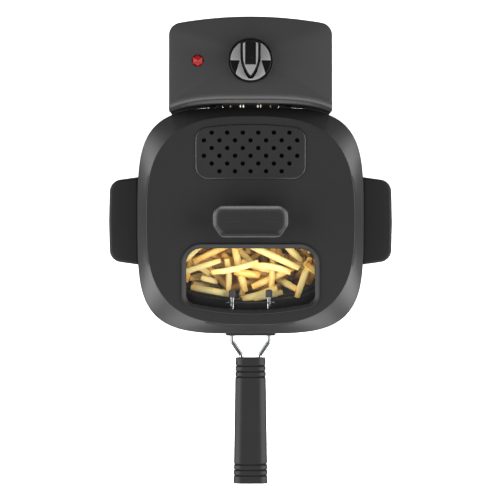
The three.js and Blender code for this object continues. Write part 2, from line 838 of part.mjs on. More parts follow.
const panelFoot = elementZ + bulbFoot - 6;
const panelTop = tubeZ + tubeRadius + flangeRise;
const panel = folded(
  [
    [panelY, panelFoot],
    [panelY + panelWall, panelFoot],
    [panelY + panelWall, panelZ],
    [flangeY + flangeWall, panelZ],
    [flangeY + flangeWall, panelTop],
    [flangeY, panelTop],
    [flangeY, panelZ + panelWall],
    [panelY, panelZ + panelWall],
  ],
  -panelHalf,
  panelHalf,
);
const tubeHoles = [-1, 1].flatMap((side) => [
  bar(side * legX, tubeZ, tubeRadius + fit, flangeY - 2, flangeY + 3),
  bar(side * bulbX, tubeZ, capillaryRadius + fit, flangeY - 2, flangeY + 3, wireSides),
]);
piece("element_panel", cut(panel, ...tubeHoles), brushedSteel);

for (const [name, side] of [
  ["thermostat_bulb", -1],
  ["cutout_bulb", 1],
]) {
  const foot = elementZ + bulbFoot;
  const capillary = [
    [side * bulbX, headInside, tubeZ],
    [side * bulbX, legY, tubeZ],
    [side * bulbX, legY, foot + bulbLength - 1],
  ];
  const bulb = pillar(side * bulbX, legY, bulbRadius, foot, foot + bulbLength);
  piece(name, join(bulb, bentTube(capillary, tubeBend, capillaryRadius, 6)), copper);
}

const clipZ = elementZ + bulbFoot + 28;
const clipBack = panelY - fit;
const clipFront = legY - tubeRadius - fit - clipWall;
const clipSide = bulbX + bulbRadius + fit;
const clip = cut(
  block([-clipSide - clipWall, clipFront, clipZ], [clipSide + clipWall, clipBack, clipZ + clipHeight]),
  block([-clipSide, clipFront + clipWall, clipZ - 1], [clipSide, clipBack + 1, clipZ + clipHeight + 1]),
);
piece("bulb_clip", clip, brushedSteel);

// ---- Knob, on the thermostat's shaft -----------------------------------------------------------
const knobFoot = headTop + running;
const discTop = knobFoot + knobDisc;
const ridgeTop = discTop + knobRidge;
const shaftTop = discTop + 2;
piece("thermostat_shaft", pillar(0, knobY, shaftRadius, shaftFoot, shaftTop), brushedSteel);
const disc = solid(
  turned(
    [
      [0, knobFoot],
      [knobRadius, knobFoot],
      [knobRadius, discTop - 1.5],
      [knobRadius - 1.5, discTop],
      [0, discTop],
    ],
    32,
  ).translate(0, knobY, 0),
);
/** Half outlines meet in a point at the front and stay wide at the back, like a leaf. */
const leafHalf = (t) => knobRidgeHalf * Math.min(1, Math.sin((Math.PI / 2) * Math.min(1, t * 1.6)));
const leafSteps = [0.02, 0.15, 0.3, 0.45, 0.62, 1];
const leafFront = knobY - knobRadius + 3;
const leafBack = knobY + knobRadius - 1;
const leafY = (t) => leafFront + (leafBack - leafFront) * t;
const leaf = [
  ...leafSteps.map((t) => [leafHalf(t) * (t < 1 ? 1 : 0.7), leafY(t)]),
  ...leafSteps.toReversed().map((t) => [-leafHalf(t) * (t < 1 ? 1 : 0.7), leafY(t)]),
];
const slotFront = knobY - 5;
const insertSlot = block(
  [-insertHalf - fit, slotFront - fit, ridgeTop - insertHeight - fit],
  [insertHalf + fit, leafBack + 5, ridgeTop + 1],
);
const knobBore = pillar(0, knobY, shaftRadius + fit, knobFoot - 1, shaftTop + fit);
piece(
  "control_knob",
  cut(join(disc, plate(leaf, discTop - 1, ridgeTop)), insertSlot, knobBore),
  greyPlastic,
);
piece(
  "knob_insert",
  block([-insertHalf, slotFront, ridgeTop - insertHeight], [insertHalf, leafBack - 1, ridgeTop - 0.5]),
  blackGloss,
);

// ---- Reset button of the thermal cut-out -------------------------------------------------------
const cutoutBack = backWall - cutoutGap;
piece(
  "reset_button",
  bar(resetX, resetZ, resetRadius, cutoutBack + resetTravel + fit, headBack - headBackDraft + resetProud),
  redLens,
);

// ---- Basket ------------------------------------------------------------------------------------
const tubRings = (wall, low, high) => [
  ring(
    basketX - basketDraft - basketFillet - wall,
    basketY - basketDraft - basketFillet - wall,
    basketPower,
    low,
  ),
  ring(
    basketX - basketDraft - wall,
    basketY - basketDraft - wall,
    basketPower,
    basketFloor + basketFillet,
  ),
  ring(basketX - wall, basketY - wall, basketPower, high),
];
const tub = cut(
  skin(tubRings(0, basketFloor, basketTop)),
  skin(tubRings(meshWall, basketFloor + meshWall, basketTop + 1)),
);
piece("basket_mesh", tub, chromeWire);
const rimInset = fit + ringWire;
piece(
  "basket_rim",
  hoop(basketX + rimInset, basketY + rimInset, basketPower, basketTop - ringWire, ringWire),
  chromeWire,
);
const frameX = basketX - basketDraft - basketFillet - 2;
const frameY = basketY - basketDraft - basketFillet - 2;
const frameBar = (x) => bar(x, basketFootZ, ringWire, -frameY, frameY, 6);
const basketFrame = join(
  hoop(frameX, frameY, basketPower, basketFootZ, ringWire),
  frameBar(-frameX / 3),
  frameBar(frameX / 3),
);
piece("basket_frame", basketFrame, chromeWire);

const bracketFoot = basketTop - bracketDrop;
const bracketTop = wireZ + wireRadius + bracketHead;
const bracketHoles = [-wireX, wireX].map((x) =>
  bar(x, wireZ, wireRadius + fit, bracketY - bracketWall - 2, bracketY + 2),
);
const bracket = block(
  [-bracketHalf, bracketY - bracketWall, bracketFoot],
  [bracketHalf, bracketY, bracketTop],
);
piece("handle_bracket", cut(bracket, ...bracketHoles), brushedSteel);

const kneeEnd = wireKnee - wireNeckRun;
const yokeEnd = gripStart - gripBore + 4;
const yokeSide = (side) => [
  [side * wireX, wireTip, wireZ],
  [side * wireX, wireKnee, wireZ],
  [side * wireNeckX, kneeEnd, wireZ],
  [side * wireNeckX, yokeEnd + wireRadius, wireZ],
];
const yoke = [...yokeSide(-1), ...yokeSide(1).reverse()];
piece("handle_wire", bentTube(yoke, wireBend, wireRadius), chromeWire);
for (const [place, side] of [
  ["left", -1],
  ["right", 1],
]) {
  const tip = cut(
    bar(side * wireX, wireZ, wireRadius + fit + tipWall, wireTip - tipLength + 2.5, wireTip + 2.5),
    bar(side * wireX, wireZ, wireRadius + fit, wireTip - tipLength, wireTip + fit),
  );
  piece(`wire_tip_${place}`, tip, rubber);
}

// ---- Grip --------------------------------------------------------------------------------------
/** One section of the grip: a flat-topped bar with broad chamfers. */
function gripSection(y, inset) {
  const along = (gripStart - y) / gripLength;
  const half = gripStartHalf + (gripEndHalf - gripStartHalf) * along - inset;
  const thick = gripThick / 2 - inset;
  const flat = half - gripChamfer;
  const side = thick - gripChamfer * 0.6;
  const outline = [
    [half, -side],
    [half, side],
    [flat, thick],
    [-flat, thick],
    [-half, side],
    [-half, -side],
    [-flat, -thick],
    [flat, -thick],
  ];
  return outline.map(([x, z]) => [x, y, wireZ + z]);
}
const grooveAt = (start, way) =>
  Array.from({ length: grooveCount }, (_, k) => start + way * (grooveInset + k * groovePitch));
const grooves = [...grooveAt(gripStart, -1), ...grooveAt(gripEnd, 1).reverse()];
const gripSections = [
  gripSection(gripStart, gripEndEdge),
  gripSection(gripStart - gripEndEdge, 0),
  ...grooves.flatMap((y) => [
    gripSection(y + grooveWidth / 2, 0),
    gripSection(y + grooveWidth / 4, grooveDepth),
    gripSection(y - grooveWidth / 4, grooveDepth),
    gripSection(y - grooveWidth / 2, 0),
  ]),
  gripSection(gripEnd + gripEndEdge, 0),
  gripSection(gripEnd, gripEndEdge),
];
// The sections are stacked upright to be skinned, and the skin is then laid along -Y.
const gripWhole = skin(gripSections.map((s) => s.map(([x, y, z]) => [x, z, -y]))).rotate([90, 0, 0]);
const wirePocket = join(
  block(
    [-wireNeckX - wireRadius - fit, gripStart - gripBore, wireZ - wireRadius - fit],
    [wireNeckX + wireRadius + fit, gripStart - gripMouth, wireZ + wireRadius + fit],
  ),
  bar(-wireNeckX, wireZ, wireRadius + fit, gripStart - gripBore + 5, gripStart + 1),
  bar(wireNeckX, wireZ, wireRadius + fit, gripStart - gripBore + 5, gripStart + 1),
);
const gripScrews = [
  ["front", gripEnd + gripScrewInset[0]],
  ["rear", gripStart - gripScrewInset[1]],
];
const gripFoot = wireZ - gripThick / 2;
const gripScrewHoles = gripScrews.flatMap(([, y]) => [
  pillar(0, y, screwRadius + fit, gripFoot - 1, gripFoot + gripScrewDepth, 10),
  pillar(0, y, screwHead + fit, gripFoot - 1, gripFoot + screwHeadHeight + 4 * fit, 10),
]);
const gripHalf = (low, high) =>
  cut(
    gripWhole.intersect(block([-40, gripEnd - 1, low], [40, gripStart + 1, high])),
    wirePocket,
    ...gripScrewHoles,
  );
piece("grip_upper", gripHalf(wireZ + fit / 2, wireZ + gripThick), blackPlastic);
piece("grip_lower", gripHalf(wireZ - gripThick, wireZ - fit / 2), blackPlastic);
for (const [place, y] of gripScrews) {
  const held = screw(gripScrewLength).translate(0, y, gripFoot + screwHeadHeight + 3 * fit);
  piece(`grip_screw_${place}`, held, darkSteel);
}

// ---- Lid ---------------------------------------------------------------------------------------
/** Outline of the window: straight back edge, round corners, and a front edge bowed like the lid. */
function windowOutline(inset) {
  const half = windowHalf - inset;
  const bow = (windowSweep ** 2 + windowHalf ** 2) / (2 * windowSweep);
  const middle = windowFront + bow;
  const corner = windowFrontCorner - inset;
  const cornerX = half - corner;
  const cornerY = middle - Math.sqrt((bow - inset - corner) ** 2 - cornerX ** 2);
  const lean = THREE.MathUtils.radToDeg(Math.atan2(middle - cornerY, cornerX));
  const back = windowBack - inset;
  const backCorner = windowCorner - inset;
  return [
    ...arc(0, middle, bow - inset, 180 + lean, 360 - lean, 8).slice(1, -1),
    ...arc(cornerX, cornerY, corner, -lean, 0),
    ...arc(half - backCorner, back - backCorner, backCorner, 0, 90),
    ...arc(-half + backCorner, back - backCorner, backCorner, 90, 180),
    ...arc(-cornerX, cornerY, corner, 180, 180 + lean),
  ];
}

/** Outline of the filter's cover: straight front edge, round corners, and an arched back edge. */
function ventOutline(inset) {
  const half = ventHalf - inset;
  const bow = (ventArch ** 2 + ventHalf ** 2) / (2 * ventArch) - inset;
  const middle = ventBack - inset - bow;
  const corner = ventCorner - inset;
  const cornerX = half - corner;
  const cornerY = middle + Math.sqrt((bow - corner) ** 2 - cornerX ** 2);
  const lean = THREE.MathUtils.radToDeg(Math.atan2(cornerY - middle, cornerX));
  const front = ventFront + inset + corner;
  return [
    ...arc(-cornerX, front, corner, 180, 270),
    ...arc(cornerX, front, corner, 270, 360),
    ...arc(cornerX, cornerY, corner, 0, lean),
    ...arc(0, middle, bow, lean, 180 - lean, 6).slice(1, -1),
    ...arc(-cornerX, cornerY, corner, 180 - lean, 180),
  ];
}

const skirtFoot = bodyTop + fit;
const lidSkin = (inset, foot) =>
  skin([
    square(lidHalf - inset, foot),
    square(lidHalf - inset, lidEdge - 1 - inset),
    square(lidHalf - 1 - inset, lidEdge - inset),
    square(lidHalf - lidBand - inset, lidCrease - inset, creasePower),
    square(lidHalf - lidBand - 2.5 - inset, lidTop - inset, creasePower),
  ]);
const rearNotch = block(
  [-panelHalf - 3, lidHalf - 12, skirtFoot - 1],
  [panelHalf + 3, lidHalf + 2, notchTop],
);
const hood = block(
  [-hoodHalf, -lidHalf - hoodReach, skirtFoot],
  [hoodHalf, -lidHalf + 6, lidEdge],
);
const hoodMouth = block(
  [-wireX - wireRadius - 2, -lidHalf - hoodReach - 1, skirtFoot - 1],
  [wireX + wireRadius + 2, -lidHalf + 12, wireZ + wireRadius + 2 * running],
);
const lidHollow = lidSkin(lidWall, skirtFoot - 1);
const lidGripHoles = [-lidGripScrewX, lidGripScrewX].map((x) =>
  pillar(x, lidGripY, screwRadius + fit, lidUnder - 1, lidTop + lidGripScrewLength, 10),
);
const lidShell = cut(
  join(lidSkin(0, skirtFoot), hood),
  lidHollow,
  rearNotch,
  hoodMouth,
  plate(windowOutline(frameRest), lidUnder - 1, lidTop + 1),
  plate(ventOutline(-fit), lidTop - ventLedge, lidTop + 1),
  plate(ventOutline(ventRest), lidUnder - 1, lidTop),
  ...lidGripHoles,
);
piece("lid_shell", lidShell, blackPlastic);

const frameLevel = (inset, z) => windowOutline(inset).map((p) => [...p, z]);
const frame = skin(
  [
    frameLevel(frameRest + fit, lidTop - frameDepth),
    frameLevel(frameRest + fit, lidTop + fit),
    frameLevel(0, lidTop + fit),
    frameLevel(0, lidTop + frameEdge),
    frameLevel(frameEdge, lidTop + frameCrest),
    frameLevel(frameWidth, lidTop + frameCrest - frameSlope),
    frameLevel(frameWidth, lidTop - frameDepth),
  ],
  true,
);
piece("window_frame", frame, blackGloss);
const paneTop = lidTop - frameDepth - fit;
piece("window_pane", plate(windowOutline(1), paneTop - paneWall, paneTop), clearPane);
const seal = cut(
  plate(windowOutline(-2.5), paneTop - paneWall, lidUnder - fit),
  plate(windowOutline(0.7), paneTop - paneWall - 1, lidUnder + 1),
);
piece("window_seal", seal, rubber);

const liner = cut(
  skin([
    square(lidHalf - lidBand - linerInset, linerTop - linerWall, creasePower),
    square(lidHalf - lidBand - linerInset, linerTop, creasePower),
  ]),
  plate(windowOutline(-3), linerTop - 5, linerTop + 1),
  plate(ventOutline(ventRest), linerTop - 5, linerTop + 1),
);
piece("lid_liner", liner, brushedSteel);

/** Outline of the lid handle: round rear corners and slanted front corners. */
function lidGripOutline(inset) {
  const half = lidGripHalf - inset;
  const back = lidGripY + lidGripDepth / 2 - inset;
  const front = lidGripY - lidGripDepth / 2 + inset;
  const corner = lidGripCorner - inset;
  const slant = lidGripSlant - inset / 2;
  const slantEnd = front + lidGripSlantDepth - inset;
  return [
    [-half + slant, front],
    [half - slant, front],
    [half, slantEnd],
    ...arc(half - corner, back - corner, corner, 0, 90),
    ...arc(-half + corner, back - corner, corner, 90, 180),
    [-half, slantEnd],
  ];
}
const lidGripFoot = lidTop + fit;
const lidGripTop = lidTop + lidGripHeight;
const lidGripLevel = (inset, z) => lidGripOutline(inset).map((p) => [...p, z]);
const lidGripBody = cut(
  skin([
    lidGripLevel(lidGripUndercut, lidGripFoot),
    lidGripLevel(lidGripUndercut, lidGripFoot + lidGripStem),
    lidGripLevel(1, lidGripTop - 7),
    lidGripLevel(0, lidGripTop - 4),
    lidGripLevel(0, lidGripTop - 1.5),
    lidGripLevel(1.5, lidGripTop),
  ]),
  skin([
    lidGripLevel(8, lidGripTop - lidGripDish),
    lidGripLevel(2.5, lidGripTop),
    lidGripLevel(2, lidGripTop + 1),
  ]),
  ...lidGripHoles,
);
piece("lid_handle", lidGripBody, blackPlastic);
for (const [place, x] of [
  ["left", -lidGripScrewX],
  ["right", lidGripScrewX],
]) {
  const held = screw(lidGripScrewLength).translate(x, lidGripY, lidUnder - fit);
  piece(`lid_handle_screw_${place}`, held, darkSteel);
}

// ---- Filter ------------------------------------------------------------------------------------
const trayInset = ventRest + fit;
const trayFoot = lidTop - ventLedge - fit - trayDepth;
const traySlots = [-2, -1, 0, 1, 2].map((k) =>
  block(
    [-traySlotHalf, ventMiddle + k * traySlotPitch - traySlotWidth / 2, trayFoot - 1],
    [traySlotHalf, ventMiddle + k * traySlotPitch + traySlotWidth / 2, trayFoot + trayWall + 1],
  ),
);
const tray = cut(
  join(
    plate(ventOutline(trayInset), trayFoot, lidTop - ventLedge - fit),
    plate(ventOutline(trayInset - trayLip), lidUnder - fit - 1.2, lidUnder - fit),
  ),
  plate(ventOutline(trayInset + trayWall), trayFoot + trayWall, lidTop + 1),
  ...traySlots,
);
piece("filter_tray", tray, blackPlastic);
const padFoot = trayFoot + trayWall + fit;
piece(
  "filter_pad",
  plate(ventOutline(trayInset + trayWall + running), padFoot, padFoot + padHeight),
  filterFelt,
);

const ventHoles = ventRows.flatMap((count, row) =>
  Array.from({ length: count }, (_, k) => {
    const x = (k - (count - 1) / 2) * ventPitchX;
    const y = ventFront + ventRowInset + row * ventPitchY;
    return pillar(x, y, ventHole / 2, lidTop - 5, lidTop + 3, 6);
  }),
);
const ventFoot = lidTop - ventLedge + fit;
const ventPlate = skin([
  ventOutline(0).map((p) => [...p, ventFoot]),
  ventOutline(0).map((p) => [...p, ventFoot + ventWall - 0.8]),
  ventOutline(0.8).map((p) => [...p, ventFoot + ventWall]),
]);
piece("vent_cover", cut(ventPlate, ...ventHoles), blackPlastic);

export default fryer;
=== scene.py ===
import json
import math

import bmesh
import bpy
import numpy as np
from mathutils import Matrix, Vector


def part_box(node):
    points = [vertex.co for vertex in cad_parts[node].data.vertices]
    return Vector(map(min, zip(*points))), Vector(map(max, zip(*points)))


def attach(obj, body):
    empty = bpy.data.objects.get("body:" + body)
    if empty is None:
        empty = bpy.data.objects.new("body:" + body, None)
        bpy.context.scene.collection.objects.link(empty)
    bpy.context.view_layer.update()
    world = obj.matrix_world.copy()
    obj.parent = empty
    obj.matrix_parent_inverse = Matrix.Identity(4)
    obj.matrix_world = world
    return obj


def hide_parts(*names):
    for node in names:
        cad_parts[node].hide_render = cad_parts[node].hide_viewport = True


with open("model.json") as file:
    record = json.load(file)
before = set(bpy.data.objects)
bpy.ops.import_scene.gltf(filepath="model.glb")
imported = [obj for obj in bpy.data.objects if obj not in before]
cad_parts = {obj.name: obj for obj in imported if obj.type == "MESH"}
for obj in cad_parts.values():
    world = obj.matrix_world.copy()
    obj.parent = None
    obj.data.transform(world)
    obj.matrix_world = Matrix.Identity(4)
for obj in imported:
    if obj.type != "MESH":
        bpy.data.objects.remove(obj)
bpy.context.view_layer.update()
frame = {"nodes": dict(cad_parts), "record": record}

bl_info = {
    "name": "Deep Fryer",
    "version": (1, 0, 0),
    "blender": (4, 5, 0),
    "location": "View3D > Sidebar > Fryer",
    "description": "Builds the finished surfaces of a deep fryer round its fixed frame",
    "category": "Object",
}

MM = 0.001
FIT = 0.0003  # gap between neighbouring pieces, as in the frame
RING = 192  # facets round a rounded-square piece
ROUND = 48  # facets round a turned piece
SMOOTH_ANGLE = math.radians(32)
LID_POWER = 4.0  # how square the lid, tank and housing are in plan
CREASE_POWER = 2.9
BASKET_POWER = 3.5
LIE = Matrix.Rotation(math.pi / 2, 4, "X")  # lays a turned piece along -Y

# Lid, window and filter cover
LID_WALL = 2.4 * MM
LID_EDGE = 12.7 * MM  # edge below the lid's top
LID_BAND = 10 * MM  # breadth of the sloping band
LID_CUT = 6 * MM  # depth to which the openings are cut
HOOD_HALF = 27.5 * MM  # half the breadth of the hood over the handle's wires
WINDOW_CORNER = 22 * MM
WINDOW_FRONT_CORNER = 15 * MM
WINDOW_SWEEP = 10 * MM  # rise of the bowed front edge
FRAME_WIDTH = 5.2 * MM
FRAME_REST = 1.4 * MM  # breadth of the frame's rim on the lid
VENT_CORNER = 14 * MM
VENT_ARCH = 5 * MM
VENT_REST = 3 * MM  # breadth of the ledge under the filter's cover
VENT_LEDGE = 1.6 * MM  # its depth
GRIP_CORNER = 12 * MM
GRIP_SLANT = 13 * MM  # breadth of the lid handle's slanted front corners
GRIP_RISE = 16 * MM  # their depth
GRIP_NOSE = 8 * MM  # radius at their ends

# Control head
HEAD_ARCH = 9 * MM
HEAD_CORNER = 14 * MM
HEAD_FRONT = (132 * MM, 3.5)  # reach from the pot's middle and squareness, at the top
HEAD_FOOT = (129 * MM, 3.8)  # and down the lower wall
RAIL_X = 35 * MM  # docking rails from the middle

# Housing, tank and heater
HANDLE_CORNER = 14 * MM
HANDLE_TAPER = 2.6 * MM  # by which a side handle narrows on each side
HANDLE_BOW = 0.8 * MM  # by which its outer edge bows out
TANK_OUTER = 111.1 * MM
TANK_DRAFT = 6.4 * MM
COIL_HALF = 75 * MM
COIL_BACK = 62 * MM  # Y of the heater's turns from the pot's middle
COIL_INNER = 32 * MM
COIL_FRONT = -70 * MM
TUBE_RADIUS = 3.5 * MM
TUBE_BEND = 9 * MM
LEG_X = 9.6 * MM  # heater legs from the middle
LEG_OUT = 94.3 * MM  # and behind the pot's middle
BULB_X = 22 * MM
BULB_LENGTH = 68 * MM

# Basket and its handle
BASKET_DRAFT = 8 * MM
BASKET_FILLET = 10 * MM
RIM_WIRE = 2 * MM
WIRE_X = 20.4 * MM  # the wire's legs from the middle, at its tips
WIRE_RADIUS = 2.5 * MM
WIRE_NECK = 9.9 * MM  # and inside the grip
WIRE_TIP = -78.5 * MM  # Y of its tips, knees and waist from the pot's middle
WIRE_KNEE = -133.7 * MM
WIRE_WAIST = -149 * MM

# Heap of chips
CHIP_TRIES = 12  # places tried for each chip
CHIP_TOP = 169 * MM  # height that no chip passes
CHIP_CELL = 2.5 * MM  # of the height map
CHIP_LONGEST = 72 * MM
CHIP_SHORTER = 44 * MM  # for the last ones, which fill the gaps
CHIP_LONG_SHARE = 0.55  # share of chips that may be long
CHIP_STEEPEST = 0.5  # slope, as a tangent
CHIP_SETTLED = 62  # percentile of the ground that a chip sinks to
CHIP_PRESSED = 0.12  # share of its width by which a chip sinks in
CHIP_FEWEST = 60  # that make a heap


# ---- Places read from the frame ---------------------------------------------------------------


def low(node):
    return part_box(node)[0]


def high(node):
    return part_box(node)[1]


def middle(node):
    return (low(node) + high(node)) / 2


POT_Y = middle("oil_tank").y  # middle of the tank, lid and housing
LID_HALF = high("lid_shell").x
LID_TOP = high("lid_shell").z
LID_FOOT = low("lid_shell").z
WIRE_Z = middle("handle_wire").z
KNOB = middle("control_knob")


# ---- Meshes -----------------------------------------------------------------------------------


def mesh_object(name, vertices, faces, edges=()):
    """A new mesh object at the origin, linked to the scene."""
    mesh = bpy.data.meshes.new(name)
    mesh.from_pydata([tuple(map(float, v)) for v in vertices], edges, faces)
    mesh.validate()
    made = bpy.data.objects.new(name, mesh)
    bpy.context.scene.collection.objects.link(made)
    return made


def rounded_square(half_x, half_y, power, z, count=RING):
    """One ring of a rounded-square outline round the pot's axis."""
    angles = np.arange(count) * 2 * math.pi / count
    c, s = np.cos(angles), np.sin(angles)
    reach = (np.abs(c / half_x) ** power + np.abs(s / half_y) ** power) ** (-1 / power)
    return np.column_stack([reach * c, reach * s + POT_Y, np.full(count, z)])


def square(half, z, power=LID_POWER):
    return rounded_square(half, half, power, z)


def squares(profile):
    """Rings of a rounded-square wall from (half, z) pairs."""
    return [square(half, z) for half, z in profile]


def skin(name, rings, closed=False):
    """A surface over rings of equal count, closed on itself or capped with a fan at both ends."""
    count = len(rings[0])
    vertices = np.concatenate(rings)
    faces = []
    for r in range(len(rings) if closed else len(rings) - 1):
        base, top = r * count, (r + 1) % len(rings) * count
        for i in range(count):
            j = (i + 1) % count
            faces.append((base + i, base + j, top + j, top + i))
    if not closed:
        vertices = np.concatenate([vertices, [rings[0].mean(0)], [rings[-1].mean(0)]])
        first, last = len(vertices) - 2, len(vertices) - 1
        top = (len(rings) - 1) * count
        for i in range(count):
            j = (i + 1) % count
            faces.append((first, j, i))
            faces.append((last, top + i, top + j))
    return mesh_object(name, vertices, faces)


def rounded(profile, radius, steps=4):
    """A profile of (r, z) corners with each inner corner turned into a short arc."""
    points = [Vector(p) for p in profile]
    out = [tuple(points[0])]
    for a, b, c in zip(points, points[1:], points[2:]):
        before, after = (a - b), (c - b)
        reach = min(radius, before.length * 0.45, after.length * 0.45)
        start, end = b + before.normalized() * reach, b + after.normalized() * reach
        for k in range(steps + 1):
            t = k / steps
            out.append(tuple(start * (1 - t) ** 2 + b * 2 * t * (1 - t) + end * t**2))
    out.append(tuple(points[-1]))
    return out


def turned(name, profile, place=(0, 0, 0), count=ROUND, turn=None):
    """A turned piece from (radius, height) pairs, closed on its axis at both ends."""
    angles = np.arange(count) * 2 * math.pi / count
    vertices, faces, rows = [], [], []
    for radius, height in profile:
        if radius < 1e-7:
            rows.append([len(vertices)])
            vertices.append((0, 0, height))
            continue
        rows.append(list(range(len(vertices), len(vertices) + count)))
        vertices += [(radius * math.cos(a), radius * math.sin(a), height) for a in angles]
    for lower, upper in zip(rows, rows[1:]):
        for i in range(count):
            j = (i + 1) % count
            a, b = lower[i % len(lower)], lower[j % len(lower)]
            c, d = upper[j % len(upper)], upper[i % len(upper)]
            face = list(dict.fromkeys((a, b, c, d)))
            if len(face) > 2:
                faces.append(face)
    made = mesh_object(name, vertices, faces)
    made.data.transform(Matrix.Translation(place) @ (turn or Matrix.Identity(4)))
    return made


def turned_ring(name, profile, centre, count=96):
    """A turned ring, its profile closed on itself."""
    turns = [2 * math.pi * k / count for k in range(count)]
    rings = []
    for radius, z in profile:
        flat = [(centre.x + radius * math.cos(t), centre.y + radius * math.sin(t)) for t in turns]
        rings.append(lift(flat, z))
    return skin(name, rings, closed=True)


def plate(name, outline, foot, top, edge=0.0, edge_steps=3):
    """A plate over an outline that takes an inset, with its top edge rounded over."""
    levels = [(0.0, foot), (0.0, top - edge)]
    if edge > 0:
        turns = [math.pi / 2 * k / edge_steps for k in range(1, edge_steps + 1)]
        levels += [(edge * (1 - math.cos(t)), top - edge + edge * math.sin(t)) for t in turns]
        levels.append((edge * 1.4, top))
    return skin(name, [lift(outline(inset), z) for inset, z in levels])


def lift(outline, z):
    """A flat outline at a height."""
    points = np.asarray(outline, float)
    return np.column_stack([points, np.full(len(points), z)])


def box(name, corner, opposite):
    """A box between two opposite corners, the lower one first."""
    (x0, y0, z0), (x1, y1, z1) = corner, opposite
    flat = [(x0, y0), (x1, y0), (x1, y1), (x0, y1)]
    return skin(name, [lift(flat, z0), lift(flat, z1)])


def arc(x, y, radius, start, end, steps=10):
    """Points of an arc between two angles in degrees."""
    turns = [math.radians(start + (end - start) * k / steps) for k in range(steps + 1)]
    return [(x + radius * math.cos(t), y + radius * math.sin(t)) for t in turns]


def bent(points, bend, steps=8):
    """A path through points with each corner bent to a radius."""
    points = [Vector(p) for p in points]
    path = [points[0]]
    for a, b, c in zip(points, points[1:], points[2:]):
        into, out = (b - a).normalized(), (c - b).normalized()
        turn = into.angle(out)
        centre = b + (out - into).normalized() * (bend / math.cos(turn / 2))
        start = b - into * bend * math.tan(turn / 2) - centre
        axis = into.cross(out).normalized()
        for k in range(steps + 1):
            path.append(centre + Matrix.Rotation(turn * k / steps, 3, axis) @ start)
    return path + [points[-1]]


def tube(name, path, radius, sides=20, closed=False):
    """A round wire along a path, its ends slightly domed."""
    path = [Vector(p) for p in path]
    count = len(path)
    tangents = []
    for i in range(count):
        before = path[i - 1] if (i or closed) else path[i]
        after = path[(i + 1) % count] if (i < count - 1 or closed) else path[i]
        tangents.append((after - before).normalized())
    normal = tangents[0].orthogonal().normalized()
    rings = []
    for at, tangent in zip(path, tangents):
        normal = (normal - tangent * normal.dot(tangent)).normalized()
        side = tangent.cross(normal)
        turns = [2 * math.pi * k / sides for k in range(sides)]
        rings.append([at + (normal * math.cos(t) + side * math.sin(t)) * radius for t in turns])
    if not closed:
        def shrink(ring, centre, along):
            return [centre + (p - centre) * 0.72 + along * radius * 0.25 for p in ring]
        rings[0], first = [p + tangents[0] * radius * 0.25 for p in rings[0]], rings[0]
        rings[-1], last = [p - tangents[-1] * radius * 0.25 for p in rings[-1]], rings[-1]
        rings.insert(0, shrink(first, path[0], Vector()))
        rings.append(shrink(last, path[-1], Vector()))
    return skin(name, [np.array(r) for r in rings], closed=closed)


def carve(made, *cutters, operation="DIFFERENCE"):
    """Cuts the cutters out of a piece, or joins them to it, and removes them."""
    for cutter in cutters:
        modifier = made.modifiers.new("carve", "BOOLEAN")
        modifier.operation = operation
        modifier.solver = "EXACT"
        modifier.object = cutter
    apply_modifiers(made)
    for cutter in cutters:
        bpy.data.objects.remove(cutter)
    return made


def apply_modifiers(made):
    """The evaluated mesh takes the place of the object's own, and its modifiers go."""
    bpy.context.view_layer.update()
    evaluated = made.evaluated_get(bpy.context.evaluated_depsgraph_get())
    result = bpy.data.meshes.new_from_object(evaluated)
    made.modifiers.clear()
    made.data = result
    return made


def bevel(made, width, segments=2, angle=35):
    """Rounds a piece's sharp edges."""
    modifier = made.modifiers.new("round", "BEVEL")
    modifier.width = width
    modifier.segments = segments
    modifier.limit_method = "ANGLE"
    modifier.angle_limit = math.radians(angle)
    return apply_modifiers(made)


def joined(name, parts):
    """Several objects as one."""
    mesh = bpy.data.meshes.new(name)
    whole = bmesh.new()
    for part in parts:
        whole.from_mesh(part.data)
        bpy.data.objects.remove(part)
    whole.to_mesh(mesh)
    whole.free()
    made = bpy.data.objects.new(name, mesh)
    bpy.context.scene.collection.objects.link(made)
    return made


def finish_piece(made, body, material, slot, *nodes, angle=SMOOTH_ANGLE):
    """Gives a piece its shading and material and ties it to the frame."""
    made.data.materials.clear()
    made.data.materials.append(material)
    for polygon in made.data.polygons:
        polygon.material_index = 0
    made.data.shade_smooth()
    made.data.set_sharp_from_angle(angle=angle)
    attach(made, body)
    if nodes:
        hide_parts(*nodes)
    return made


def body_of(node):
    """The body that a node of the frame rides on."""
    for body, members in frame["record"]["behaviour"]["bodies"].items():
        if node in members:
            return body
    raise RuntimeError(f"no body holds {node}")


# ---- Node trees -------------------------------------------------------------------------------


class Value:
    """A socket that takes part in arithmetic: each operation adds a Math node."""

    def __init__(self, builder, socket):
        self.builder = builder
        self.socket = socket

    def _math(self, operation, first, second):
        node = self.builder.add("ShaderNodeMath", {"operation": operation}, {0: first, 1: second})
        return Value(self.builder, node.outputs[0])

    def __add__(self, other):
        return self._math("ADD", self, other)

    def __radd__(self, other):
        return self._math("ADD", other, self)

    def __mul__(self, other):
        return self._math("MULTIPLY", self, other)

    def __rmul__(self, other):
        return self._math("MULTIPLY", other, self)


